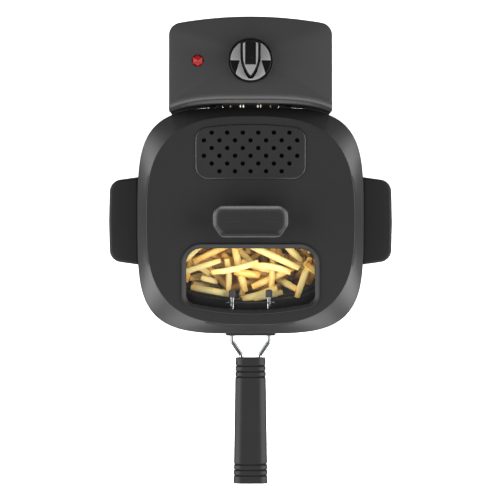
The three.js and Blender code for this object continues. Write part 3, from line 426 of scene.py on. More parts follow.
class Tree:
    """Adds nodes to a node tree and links them."""

    def __init__(self, tree):
        self.tree = tree

    def add(self, kind, settings=None, inputs=None):
        """A node of a type, with its settings, and the values or links of its sockets."""
        node = self.tree.nodes.new(kind)
        for key, value in (settings or {}).items():
            if key == "stops":
                self._stops(node.color_ramp, value)
            else:
                setattr(node, key, value)
        for key, value in (inputs or {}).items():
            socket = node.inputs[key]
            if isinstance(value, Value):
                self.tree.links.new(value.socket, socket)
            elif isinstance(value, bpy.types.NodeSocket):
                self.tree.links.new(value, socket)
            else:
                socket.default_value = value
        return node

    @staticmethod
    def _stops(ramp, stops):
        while len(ramp.elements) < len(stops):
            ramp.elements.new(1.0)
        for element, (position, colour) in zip(ramp.elements, stops):
            element.position = position
            element.color = (*colour, 1.0) if len(colour) == 3 else colour


class Finish(Tree):
    """A material on one Principled shader, read from Object coordinates."""

    def __init__(self, name, **constants):
        self.material = bpy.data.materials.new(name)
        self.material.use_nodes = True
        super().__init__(self.material.node_tree)
        self.shader = self.tree.nodes["Principled BSDF"]
        self.place = self.add("ShaderNodeTexCoord").outputs["Object"]
        for key, value in constants.items():
            self.shader.inputs[key.replace("_", " ")].default_value = value

    def scaled(self, scale):
        """Object coordinates stretched along the axes."""
        inputs = {"Vector": self.place, "Scale": scale}
        return self.add("ShaderNodeMapping", {}, inputs).outputs[0]

    def noise(self, scale, detail=2.0, roughness=0.5, vector=None):
        inputs = {
            "Vector": vector or self.place,
            "Scale": scale,
            "Detail": detail,
            "Roughness": roughness,
        }
        return Value(self, self.add("ShaderNodeTexNoise", {}, inputs).outputs["Fac"])

    def cells(self, scale):
        inputs = {"Vector": self.place, "Scale": scale}
        return Value(self, self.add("ShaderNodeTexVoronoi", {}, inputs).outputs["Distance"])

    def ramp(self, value, stops):
        node = self.add("ShaderNodeValToRGB", {"stops": stops}, {"Fac": value})
        return node.outputs["Color"]

    def range(self, value, low_in, high_in, low_out=0.0, high_out=1.0):
        inputs = {0: value, 1: low_in, 2: high_in, 3: low_out, 4: high_out}
        return Value(self, self.add("ShaderNodeMapRange", {}, inputs).outputs[0])

    def mix(self, factor, first, second):
        """Two colours mixed by a factor."""
        settings = {"data_type": "RGBA"}
        inputs = {0: factor, 6: first, 7: second}
        return self.add("ShaderNodeMix", settings, inputs).outputs[2]

    def set(self, **values):
        for key, value in values.items():
            socket = self.shader.inputs[key.replace("_", " ")]
            source = value.socket if isinstance(value, Value) else value
            self.tree.links.new(source, socket)
        return self

    def bump(self, height, distance, strength=1.0):
        inputs = {"Height": height, "Distance": distance, "Strength": strength}
        return self.set(Normal=self.add("ShaderNodeBump", {}, inputs).outputs["Normal"])


def grey(level):
    return (level, level, level * 1.01, 1.0)


class Grower(Tree):
    """A geometry node tree with named inputs, ended by Realize Instances and Set Material."""

    def __init__(self, name, **inputs):
        tree = bpy.data.node_groups.new(name, "GeometryNodeTree")
        super().__init__(tree)
        face = tree.interface
        face.new_socket("Geometry", in_out="OUTPUT", socket_type="NodeSocketGeometry")
        for label, kind in {"Geometry": "Geometry", **inputs, "Material": "Material"}.items():
            face.new_socket(label.replace("_", " "), in_out="INPUT", socket_type="NodeSocket" + kind)
        self.given = tree.nodes.new("NodeGroupInput").outputs

    def end(self, geometry):
        real = self.add("GeometryNodeRealizeInstances", {}, {"Geometry": geometry})
        inputs = {"Geometry": real.outputs[0], "Material": self.given["Material"]}
        finished = self.add("GeometryNodeSetMaterial", {}, inputs)
        self.add("NodeGroupOutput", {}, {"Geometry": finished.outputs[0]})
        return self.tree


def grown(source, tree, **values):
    """The source object's mesh becomes what the tree makes of it."""
    modifier = source.modifiers.new("grow", "NODES")
    modifier.node_group = tree
    for label, value in values.items():
        socket = tree.interface.items_tree[label.replace("_", " ")]
        if label == "Material":
            socket = next(
                s for s in tree.interface.items_tree if s.name == "Material" and s.in_out == "INPUT"
            )
        modifier[socket.identifier] = value
    return apply_modifiers(source)


def wire_tree():
    """Round wires along the edges of a mesh."""
    g = Grower("Fryer wires", Wire_Radius="Float", Wire_Sides="Int")
    curve = g.add("GeometryNodeMeshToCurve", {}, {"Mesh": g.given["Geometry"]})
    inputs = {"Resolution": g.given["Wire Sides"], "Radius": g.given["Wire Radius"]}
    section = g.add("GeometryNodeCurvePrimitiveCircle", {}, inputs)
    inputs = {"Curve": curve.outputs[0], "Profile Curve": section.outputs[0], "Fill Caps": True}
    return g.end(g.add("GeometryNodeCurveToMesh", {}, inputs).outputs[0])


def placed_tree():
    """A piece copied to each point of a mesh, turned by its turn attribute, sized by its size."""
    g = Grower("Fryer placed pieces", Piece="Object")
    piece = g.add("GeometryNodeObjectInfo", {}, {"Object": g.given["Piece"]})
    turn = g.add("GeometryNodeInputNamedAttribute", {"data_type": "FLOAT_VECTOR"}, {"Name": "turn"})
    size = g.add("GeometryNodeInputNamedAttribute", {"data_type": "FLOAT_VECTOR"}, {"Name": "size"})
    points = g.add("GeometryNodeMeshToPoints", {}, {"Mesh": g.given["Geometry"]})
    inputs = {
        "Points": points.outputs[0],
        "Instance": piece.outputs["Geometry"],
        "Rotation": turn.outputs["Attribute"],
        "Scale": size.outputs["Attribute"],
    }
    return g.end(g.add("GeometryNodeInstanceOnPoints", {}, inputs).outputs[0])


def perforated_tree():
    """Round holes through a plate, one at each point of the Places object."""
    g = Grower("Fryer steam holes", Places="Object", Hole_Radius="Float", Hole_Depth="Float")
    places = g.add("GeometryNodeObjectInfo", {}, {"Object": g.given["Places"]})
    inputs = {"Vertices": 28, "Radius": g.given["Hole Radius"], "Depth": g.given["Hole Depth"]}
    drill = g.add("GeometryNodeMeshCylinder", {}, inputs)
    points = g.add("GeometryNodeMeshToPoints", {}, {"Mesh": places.outputs["Geometry"]})
    inputs = {"Points": points.outputs[0], "Instance": drill.outputs["Mesh"]}
    drills = g.add("GeometryNodeInstanceOnPoints", {}, inputs)
    whole = g.add("GeometryNodeRealizeInstances", {}, {"Geometry": drills.outputs[0]})
    cut = g.add("GeometryNodeMeshBoolean", {"operation": "DIFFERENCE", "solver": "EXACT"})
    g.tree.links.new(g.given["Geometry"], cut.inputs["Mesh 1"])
    g.tree.links.new(whole.outputs[0], cut.inputs["Mesh 2"])
    return g.end(cut.outputs[0])


def points_object(name, places, **attributes):
    """Loose points with attributes, for a tree to put pieces on."""
    made = mesh_object(name, places, [])
    for label, values in attributes.items():
        values = np.asarray(values, float)
        kind, field = ("FLOAT", "value") if values.ndim == 1 else ("FLOAT_VECTOR", "vector")
        layer = made.data.attributes.new(label, kind, "POINT")
        layer.data.foreach_set(field, values.ravel())
    return made


def placed(name, template, places, turns, material, sizes=None, **attributes):
    """Copies of a template as one mesh, made by geometry nodes."""
    sizes = [(1, 1, 1)] * len(places) if sizes is None else sizes
    made = points_object(name, places, turn=turns, size=sizes, **attributes)
    grown(made, placed_tree(), Piece=template, Material=material)
    bpy.data.objects.remove(template)
    return made


# ---- Finishes ---------------------------------------------------------------------------------

FINISHES = {}


def once(make):
    """Makes each finish once and hands the same material out after that."""

    def made(*values):
        key = (make.__name__, *values)
        if key not in FINISHES:
            FINISHES[key] = make(*values)
        return FINISHES[key]

    return made


@once
def moulded_plastic(name, level, roughness, shine=1.5):
    """Moulded plastic with a fine spark-eroded grain, faint flow marks and a few light scuffs."""
    f = Finish(name, IOR=shine)
    flow = f.noise(11, 3, 0.6)
    grain = f.noise(2400, 2, 0.7)
    scuff = f.range(f.noise(55, 5, 0.75, f.scaled((1, 2.6, 1))), 0.6, 0.74)
    f.set(
        Base_Color=f.mix(flow, grey(level * 0.88), grey(level * 1.12)),
        Roughness=flow * 0.05 + grain * 0.1 + scuff * 0.06 + (roughness - 0.08),
    )
    return f.bump(grain, 0.00003, 0.5).material


@once
def gloss_plastic(name, level):
    """Polished black plastic with hairline scratches and a trace of dust."""
    f = Finish(name, IOR=1.3)
    scratch = f.range(f.noise(190, 4, 0.8, f.scaled((1, 9, 1))), 0.6, 0.72)
    dust = f.range(f.noise(700, 2, 0.5), 0.66, 0.74)
    f.set(
        Base_Color=f.mix(dust * 0.4, grey(level), grey(level + 0.03)),
        Roughness=scratch * 0.14 + dust * 0.2 + 0.13,
    )
    return f.bump(scratch, 0.00001, 0.4).material


@once
def knob_plastic(level):
    """Grey metallic-looking knob face with a fine turned grain. Its grey is painted highlight: light on
    the black knob's raised faces, painted into their colour.
    """
    f = Finish("Knob face", Metallic=0.35, IOR=1.5)
    grain = f.noise(900, 3, 0.6, f.scaled((1, 0.08, 1)))
    blotch = f.noise(60, 2, 0.5)
    tone = f.mix(grain, grey(level * 0.85), grey(level * 1.15))
    f.set(Base_Color=tone, Roughness=blotch * 0.08 + grain * 0.12 + 0.32)
    return f.bump(grain, 0.00002, 0.5).material


@once
def brushed_steel(name, direction, level):
    """Stainless sheet with long brush lines and cloudy wipe marks."""
    f = Finish(name, Metallic=1.0)
    stretch = {"x": (0.015, 1, 1), "y": (1, 0.015, 1), "level": (0.02, 0.02, 1)}[direction]
    lines = f.noise(1500, 3, 0.7, f.scaled(stretch))
    cloud = f.noise(18, 4, 0.6)
    f.set(
        Base_Color=f.mix(lines, grey(level * 0.86), grey(level * 1.06)),
        Roughness=cloud * 0.12 + lines * 0.14 + 0.2,
    )
    return f.bump(lines, 0.00002, 0.35).material


@once
def chrome_wire():
    """Bright plated wire with slight waviness and dulled spots."""
    f = Finish("Chrome plated wire", Metallic=1.0)
    wave = f.noise(90, 2, 0.5)
    spots = f.range(f.noise(420, 4, 0.7), 0.6, 0.75)
    f.set(
        Base_Color=f.mix(spots, (0.19, 0.195, 0.2, 1), (0.15, 0.145, 0.14, 1)),
        Roughness=spots * 0.12 + wave * 0.04 + 0.04,
    )
    return f.bump(wave, 0.00004, 0.4).material


@once
def heated_steel():
    """Heater tube, browned by heat, with straw and blue tints along it."""
    f = Finish("Heat toned steel", Metallic=1.0)
    tint = f.noise(22, 3, 0.6)
    soot = f.range(f.noise(140, 5, 0.7), 0.5, 0.7)
    stops = [(0.25, (0.3, 0.29, 0.28)), (0.5, (0.36, 0.33, 0.28)), (0.7, (0.2, 0.2, 0.23))]
    f.set(
        Base_Color=f.mix(soot * 0.7, f.ramp(tint, stops), (0.05, 0.042, 0.036, 1)),
        Roughness=soot * 0.3 + tint * 0.1 + 0.26,
    )
    return f.bump(soot, 0.00005, 0.4).material


@once
def non_stick():
    """Dark non-stick coating with pale specks and an orange-peel surface."""
    f = Finish("Non-stick coating", IOR=1.45, Coat_Roughness=0.3)
    speck = f.range(f.cells(650), 0.0, 0.16, 1.0, 0.0)
    stain = f.noise(26, 4, 0.6)
    peel = f.noise(520, 2, 0.5)
    f.set(
        Base_Color=f.mix(speck * 0.5, f.mix(stain, grey(0.05), grey(0.08)), grey(0.22)),
        Roughness=stain * 0.14 + speck * 0.1 + 0.3,
    )
    return f.bump(peel, 0.00004, 0.5).material


@once
def copper():
    """Sensor bulb copper, darkened by oil."""
    f = Finish("Oiled copper", Metallic=1.0)
    tarnish = f.noise(120, 4, 0.65)
    f.set(
        Base_Color=f.mix(tarnish, (0.4, 0.2, 0.1, 1), (0.16, 0.085, 0.05, 1)),
        Roughness=tarnish * 0.3 + 0.2,
    )
    return f.bump(tarnish, 0.00003, 0.4).material


@once
def rubber():
    """Soft black rubber with a chalky bloom."""
    f = Finish("Rubber", IOR=1.5)
    bloom = f.noise(75, 4, 0.6)
    pores = f.noise(1800, 2, 0.6)
    f.set(Base_Color=f.mix(bloom, grey(0.008), grey(0.03)), Roughness=bloom * 0.15 + 0.7)
    return f.bump(pores, 0.00005, 0.6).material


@once
def clear_pane():
    """Clear window, a little greasy, with a few dried drops."""
    f = Finish("Window pane", IOR=1.5, Coat_Weight=0.3)
    film = f.noise(24, 4, 0.65)
    drops = f.range(f.cells(150), 0.05, 0.16, 1.0, 0.0)
    f.set(
        Base_Color=f.mix(film, grey(0.05), grey(0.09)),
        Roughness=film * 0.08 + drops * 0.08 + 0.04,
        Alpha=film * 0.05 + drops * 0.03 + 0.05,
    )
    return f.bump(drops, 0.00003, 0.3).material


@once
def red_lens(colour):
    """Red moulded lens, lit a little from inside, with moulding ripples. The reset button wears it too,
    so the glow there is painted light: no lamp sits behind the button.
    """
    f = Finish("Red lens", IOR=1.22, Emission_Strength=0.06)
    ripple = f.noise(330, 2, 0.5)
    deep = (colour[0] * 0.45, colour[1] * 0.5, colour[2] * 0.5, 1)
    tone = f.mix(ripple, deep, tuple(colour))
    f.set(Base_Color=tone, Emission_Color=tone, Roughness=ripple * 0.1 + 0.3)
    return f.bump(ripple, 0.00008, 0.6).material


@once
def felt():
    """Charcoal filter felt with crossing fibres."""
    f = Finish("Filter felt", Sheen_Weight=0.15)
    fibre = f.noise(1300, 4, 0.8, f.scaled((1, 0.12, 1)))
    cross = f.noise(1200, 4, 0.8, f.scaled((0.12, 1, 1)))
    weave = fibre * 0.5 + cross * 0.5
    f.set(Base_Color=f.mix(weave, grey(0.015), grey(0.09)), Roughness=weave * 0.1 + 0.86)
    return f.bump(weave, 0.0003, 0.8).material


@once
def fried_potato(pale, crust):
    """Fried potato: pale flesh, golden to brown along its edges and ends, with blisters."""
    f = Finish("Fried potato", IOR=1.4, Subsurface_Weight=0.12, Subsurface_Scale=0.004)
    edge = f.add("ShaderNodeAttribute", {"attribute_name": "crust"}).outputs["Fac"]
    tone = f.add("ShaderNodeAttribute", {"attribute_name": "tone"}).outputs["Fac"]
    mottle = f.noise(170, 5, 0.7)
    blister = f.range(f.cells(330), 0.02, 0.4, 1.0, 0.0)
    browned = f.range(Value(f, edge) * 0.8 + mottle * 0.9 + Value(f, tone) * 0.7, 0.75, 2.1)
    deep = (crust[0] * 0.42, crust[1] * 0.3, crust[2] * 0.35, 1)
    flesh = f.mix(f.range(browned, 0.0, 0.6), tuple(pale), tuple(crust))
    f.set(
        Base_Color=f.mix(f.range(browned, 0.55, 1.0), flesh, deep),
        Roughness=mottle * 0.3 + 0.28,
    )
    return f.bump(blister * 0.5 + mottle, 0.0003, 0.7).material


@once
def zinc():
    """Zinc-plated screw steel with grey bloom in its recess."""
    f = Finish("Zinc plated screw", Metallic=1.0)
    bloom = f.noise(600, 4, 0.7)
    f.set(
        Base_Color=f.mix(bloom, (0.52, 0.54, 0.55, 1), (0.3, 0.3, 0.27, 1)),
        Roughness=bloom * 0.3 + 0.22,
    )
    return f.bump(bloom, 0.00003, 0.5).material


@once
def white_plastic():
    """Heat-proof off-white plastic, slightly yellowed."""
    f = Finish("White plastic", IOR=1.5)
    age = f.noise(40, 3, 0.6)
    grain = f.noise(1500, 2, 0.6)
    f.set(
        Base_Color=f.mix(age, (0.66, 0.64, 0.58, 1), (0.74, 0.73, 0.69, 1)),
        Roughness=grain * 0.12 + 0.42,
    )
    return f.bump(grain, 0.00003, 0.4).material


@once
def pale_floor():
    """Plain white floor with a very faint mottle."""
    f = Finish("Pale floor", IOR=1.3)
    mottle = f.noise(3, 2, 0.5)
    f.set(Base_Color=f.mix(mottle, grey(0.93), grey(0.96)), Roughness=mottle * 0.1 + 0.8)
    return f.material


def black_plastic():
    return moulded_plastic("Black plastic", 0.0125, 0.5, 1.4)


def lid_plastic():
    return moulded_plastic("Lid plastic", 0.0088, 0.4, 1.4)


def handle_plastic():
    return moulded_plastic("Handle plastic", 0.0088, 0.5, 1.25)


def inner_plastic():
    return moulded_plastic("Inner plastic", 0.014, 0.55)


def gloss_black():
    return gloss_plastic("Gloss black plastic", 0.005)


# ---- Outlines ---------------------------------------------------------------------------------


def bow_radius(rise, half):
    """Radius of an arc that rises by so much over half its width."""
    return (rise**2 + half**2) / (2 * rise)


def corner_of(bow, corner, x):
    """Where a corner arc meets a bow: its middle's distance from the bow's, and its angle."""
    y = math.sqrt((bow - corner) ** 2 - x**2)
    return y, math.degrees(math.atan2(y, x))


def window_outline(inset):
    """Straight back edge, round corners, and a front edge bowed like the lid."""
    first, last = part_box("window_frame")
    half = last.x - inset
    bow = bow_radius(WINDOW_SWEEP, last.x)
    centre = first.y + bow
    corner = WINDOW_FRONT_CORNER - inset
    x = half - corner
    rise, lean = corner_of(bow - inset, corner, x)
    back, round_back = last.y - inset, WINDOW_CORNER - inset
    return [
        *arc(0, centre, bow - inset, 180 + lean, 360 - lean, 40)[1:-1],
        *arc(x, centre - rise, corner, -lean, 0, 12),
        *arc(half - round_back, back - round_back, round_back, 0, 90, 16),
        *arc(-half + round_back, back - round_back, round_back, 90, 180, 16),
        *arc(-x, centre - rise, corner, 180, 180 + lean, 12),
    ]


def vent_outline(inset):
    """Straight front edge, round corners, and an arched back edge."""
    first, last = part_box("vent_cover")
    half = last.x - inset
    bow = bow_radius(VENT_ARCH, last.x) - inset
    centre = last.y - inset - bow
    corner = VENT_CORNER - inset
    x = half - corner
    rise, lean = corner_of(bow, corner, x)
    front = first.y + inset + corner
    return [
        *arc(-x, front, corner, 180, 270, 14),
        *arc(x, front, corner, 270, 360, 14),
        *arc(x, centre + rise, corner, 0, lean, 12),
        *arc(0, centre, bow, lean, 180 - lean, 30)[1:-1],
        *arc(-x, centre + rise, corner, 180 - lean, 180, 12),
    ]


def lid_grip_outline(inset):
    """Round rear corners and slanted front corners."""
    first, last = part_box("lid_handle")
    half, back, front = last.x - inset, last.y - inset, first.y + inset
    corner, slant = GRIP_CORNER - inset, GRIP_SLANT - inset / 2
    rise = GRIP_RISE - inset
    nose = GRIP_NOSE - inset / 2
    angle = math.degrees(math.atan2(slant, rise))
    return [
        *arc(-half + slant, front + nose, nose, 180 + angle, 270, 6),
        *arc(half - slant, front + nose, nose, 270, 360 - angle, 6),
        *arc(half - nose, front + rise, nose, -angle, 0, 6),
        *arc(half - corner, back - corner, corner, 0, 90, 12),
        *arc(-half + corner, back - corner, corner, 90, 180, 12),
        *arc(-half + nose, front + rise, nose, 180, 180 + angle, 6),
    ]


def head_outline(inset, side_in=0.0, back_in=0.0, front=HEAD_FRONT):
    """Curved front that follows the lid, straight sides, round rear corners and arched back."""
    last = high("head_cover")
    half, back = last.x - inset - side_in, last.y - inset - back_in
    bow = bow_radius(HEAD_ARCH, last.x) - inset
    corner = HEAD_CORNER - min(inset, HEAD_CORNER / 2)
    centre = back - bow
    x = half - corner
    rise, lean = corner_of(bow, corner, x)
    reach, power = front[0] + inset, front[1]
    spans = 48
    curve = []
    for k in range(spans + 1):
        at = half * (2 * k / spans - 1)
        curve.append((at, POT_Y + reach * (1 - abs(at / reach) ** power) ** (1 / power)))
    return [
        *curve,
        *arc(x, centre + rise, corner, 0, lean, 14),
        *arc(0, centre, bow, lean, 180 - lean, 36)[1:-1],
        *arc(-x, centre + rise, corner, 180 - lean, 180, 14),
    ]


def side_handle_outline(inset):
    """A side handle from the collar outwards, on the right."""
    first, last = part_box("right_handle")
    near, far = first.x + inset, last.x - HANDLE_BOW - inset
    half = (last.y - first.y) / 2 - inset
    corner, taper = HANDLE_CORNER - inset, HANDLE_TAPER
    points = [
        (near, -half),
        *arc(far - corner, -half + taper + corner, corner, -85, 0, 12),
        (far + HANDLE_BOW, 0),
        *arc(far - corner, half - taper - corner, corner, 0, 85, 12),
        (near, half),
    ]
    return [(x, y + POT_Y) for x, y in points]


# ---- What a user may change -------------------------------------------------------------------


class FryerSizes(bpy.types.PropertyGroup):
    """Sizes of what the frame leaves open."""

    mesh_pitch: bpy.props.FloatProperty(
        name="Mesh Pitch",
        description="Distance between the basket's wires",
        default=0.0058,
        min=0.003,
        subtype="DISTANCE",
        unit="LENGTH",
    )
    mesh_wire: bpy.props.FloatProperty(
        name="Mesh Wire",
        description="Radius of the basket's wires",
        default=0.0005,
        min=0.0002,
        subtype="DISTANCE",
        unit="LENGTH",
    )
    hole_radius: bpy.props.FloatProperty(
        name="Steam Hole",
        description="Radius of the holes in the filter's cover",
        default=0.0025,
        min=0.001,
        subtype="DISTANCE",
        unit="LENGTH",
    )
    chip_width: bpy.props.FloatProperty(
        name="Chip Width",
        description="Width of a potato chip",
        default=0.0078,
        min=0.004,
        subtype="DISTANCE",
        unit="LENGTH",
    )
    chip_count: bpy.props.IntProperty(
        name="Chips",
        description="How many chips are dropped into the basket",
        default=1300,
        min=1,
    )
    chip_seed: bpy.props.IntProperty(
        name="Chip Seed",
        description="Seed of the heap",
        default=11,
    )


class FryerColours(bpy.types.PropertyGroup):
    """Colours of what isn't black or steel."""

    lamp: bpy.props.FloatVectorProperty(
        name="Lamp",
        description="Colour of the pilot lamp and the reset button",
        default=(0.2, 0.004, 0.005, 1.0),
        size=4,
        subtype="COLOR",
    )
    potato: bpy.props.FloatVectorProperty(
        name="Potato",
        description="Colour of the chips' pale flesh",
        default=(0.88, 0.77, 0.34, 1.0),
        size=4,
        subtype="COLOR",
    )
    crust: bpy.props.FloatVectorProperty(
        name="Crust",
        description="Colour of the chips' golden crust",
        default=(0.88, 0.52, 0.1, 1.0),
        size=4,
        subtype="COLOR",
    )
    # the knob's grey is painted highlight: light on its raised faces, painted into their colour
    knob: bpy.props.FloatProperty(
        name="Knob Highlight Grey",
        description="Brightness of the knob's grey faces",
        default=0.16,
        subtype="FACTOR",
        min=0.0,
        max=1.0,
    )


def sizes():
    return bpy.context.scene.fryer_sizes


def colours():
    return bpy.context.scene.fryer_colours


# ---- Lid --------------------------------------------------------------------------------------


def lid_skin(name, inset, foot):
    """The lid's outer form, or its hollow when inset by the wall."""
    top = LID_TOP - inset
    edge = top - LID_EDGE
    round_edge, crown = 1.6 * MM, 0.5 * MM
    half, crease = LID_HALF - inset, LID_HALF - LID_BAND - inset
    rings = [square(half, LID_FOOT + foot), square(half, edge - round_edge)]
    for k in range(1, 7):  # soft outer edge
        turn = math.radians(9 * k)
        out = round_edge * (1 - math.cos(turn))
        rings.append(square(half - out, edge - round_edge + 1.2 * round_edge * math.sin(turn)))
    band_half, band_z = half - out, rings[-1][0][2]
    for k in range(1, 9):  # the sloping band turns from the lid's outline to the crease's
        t = k / 8
        power = LID_POWER + (CREASE_POWER - LID_POWER) * t
        reach = band_half + (crease - band_half) * t
        rings.append(square(reach, band_z + (top - crown - band_z) * t, power))
    for k in range(1, 5):
        turn = math.pi / 8 * k
        reach = crease - crown * 1.3 * (1 - math.cos(turn))
        rings.append(square(reach, top - crown + crown * math.sin(turn), CREASE_POWER))
    rings.append(square(reach - 1 * MM, top, CREASE_POWER))
    return skin(name, rings)


class FRYER_OT_lid(bpy.types.Operator):
    """Lid: sloping band, flat top, hood over the wires, rear notch, window and filter openings"""

    bl_idname = "fryer.lid"
    bl_label = "Lid"

    def execute(self, context):
        shell = lid_skin("lid_shell_skin", 0, 0)
        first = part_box("lid_shell")[0]
        notch_half = high("element_panel").x + 3 * MM
        edge, cut_foot = LID_TOP - LID_EDGE, LID_TOP - LID_CUT
        hood = box(
            "hood",
            (-HOOD_HALF, first.y, LID_FOOT),
            (HOOD_HALF, POT_Y - LID_HALF + 6 * MM, edge),
        )
        bevel(hood, 1.4 * MM, 3)
        carve(shell, hood, operation="UNION")
        mouth_x = high("handle_wire").x + 2 * MM
        cutters = [
            lid_skin("hollow", LID_WALL, -1 * MM),
            box(
                "mouth",
                (-mouth_x, first.y - 1 * MM, LID_FOOT - 1 * MM),
                (mouth_x, POT_Y - LID_HALF + 12 * MM, high("handle_wire").z + 1 * MM),
            ),
            box(
                "notch",
                (-notch_half, POT_Y + LID_HALF - 12 * MM, LID_FOOT - 1 * MM),
                (notch_half, POT_Y + LID_HALF + 2 * MM, edge - 2 * MM),
            ),
            plate("window", lambda i: window_outline(i + FRAME_REST), cut_foot, LID_TOP + MM),
            plate("recess", lambda i: vent_outline(i - FIT), LID_TOP - VENT_LEDGE, LID_TOP + MM),
            plate("vent", lambda i: vent_outline(i + VENT_REST), cut_foot, LID_TOP),
        ]
        carve(shell, *cutters)
        finish_piece(shell, "lid", lid_plastic(), "black_plastic", "lid_shell")
        return {"FINISHED"}


class FRYER_OT_window(bpy.types.Operator):
    """Window: bevelled frame and clear pane"""

    bl_idname = "fryer.window"
    bl_label = "Window"

    def execute(self, context):
        top = high("window_frame").z
        foot = low("window_frame").z
        rest = LID_TOP + FIT
        profile = [
            (FRAME_REST + FIT, foot),
            (FRAME_REST + FIT, rest),
            (0.0, rest),
            (0.0, top - 0.7 * MM),
            (0.25 * MM, top - 0.25 * MM),
            (0.8 * MM, top),
            (1.2 * MM, top - 0.1 * MM),
            (FRAME_WIDTH - 0.5 * MM, top - 2.4 * MM),
            (FRAME_WIDTH - 0.1 * MM, top - 2.9 * MM),
            (FRAME_WIDTH, top - 3.4 * MM),
            (FRAME_WIDTH, foot),
        ]
        frame_rings = [lift(window_outline(inset), z) for inset, z in profile]
        made = skin("window_bezel", frame_rings, closed=True)
        finish_piece(made, "lid", handle_plastic(), "gloss_plastic", "window_frame")

        first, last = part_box("window_pane")
        pane = plate("window_glass", lambda i: window_outline(i + 1 * MM), first.z, last.z, 0.3 * MM)
        finish_piece(pane, "lid", clear_pane(), "clear_pane", "window_pane")
        return {"FINISHED"}


class FRYER_OT_filter(bpy.types.Operator):
    """Filter cover with its rows of steam holes"""

    bl_idname = "fryer.filter"
    bl_label = "Filter Cover"

    ROWS = (5, 6, 7, 6, 7, 6)  # holes in each row, front to back
    PITCH_X = 17.1 * MM
    PITCH_Y = 8.5 * MM
    FIRST_ROW = 54.2 * MM

    def execute(self, context):
        first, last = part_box("vent_cover")
        cover = plate("vent_grille", vent_outline, first.z, last.z, 1.2 * MM, 4)
        places = []
        for row, count in enumerate(self.ROWS):
            for k in range(count):
                x = (k - (count - 1) / 2) * self.PITCH_X
                places.append((x, POT_Y + self.FIRST_ROW + row * self.PITCH_Y, last.z))
        holes = points_object("hole_places", places)
        grown(
            cover,
            perforated_tree(),
            Places=holes,
            Hole_Radius=sizes().hole_radius,
            Hole_Depth=12 * MM,
            Material=lid_plastic(),
        )
        bpy.data.objects.remove(holes)
        finish_piece(cover, "vent", lid_plastic(), "black_plastic", "vent_cover")
        return {"FINISHED"}


class FRYER_OT_lid_handle(bpy.types.Operator):
    """Lid handle: undercut sides and a dished top"""

    bl_idname = "fryer.lid_handle"
    bl_label = "Lid Handle"

    DISH = 2.2 * MM

    def execute(self, context):
        first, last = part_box("lid_handle")
        foot, top = first.z, last.z
        lip = 1.5  # inset of the rim round the dish, in mm as all of the profile's
        profile = [
            (6.0, foot),
            (6.0, foot + 4 * MM),
            (5.6, foot + 6 * MM),
            (1.4, top - 8 * MM),
            (0.35, top - 5.6 * MM),
            (0.0, top - 4 * MM),
            (0.0, top - 1.8 * MM),
            (0.25, top - 0.9 * MM),
            (0.8, top - 0.25 * MM),
            (lip, top),
            (2.3, top - 0.25 * MM),
            (3.6, top - 0.75 * MM),
            (5.5, top - 1.0 * MM),
            (8.0, top - 1.1 * MM),
        ]
        levels = [lift(lid_grip_outline(inset * MM), z) for inset, z in profile]
        axis, half = (first.y + last.y) / 2, last.x
        last_ring = levels[-1]
        for share in (0.66, 0.33, 0.02):  # the dish closes on a line across the handle
            ring = last_ring.copy()
            ring[:, 1] = axis + (ring[:, 1] - axis) * share
            levels.append(ring)
        insets = [inset for inset, _ in profile]
        insets += [insets[-1]] * (len(levels) - len(profile))
        for ring, inset in zip(levels, insets):
            if inset > lip:
                depth = min(1.0, (inset - lip) / 3)
                ring[:, 2] -= self.DISH * depth * (1 - (ring[:, 0] / half) ** 2)
        made = skin("lid_handle_grip", levels)
        finish_piece(made, "lid", lid_plastic(), "black_plastic", "lid_handle")
        return {"FINISHED"}


# ---- Control head -----------------------------------------------------------------------------


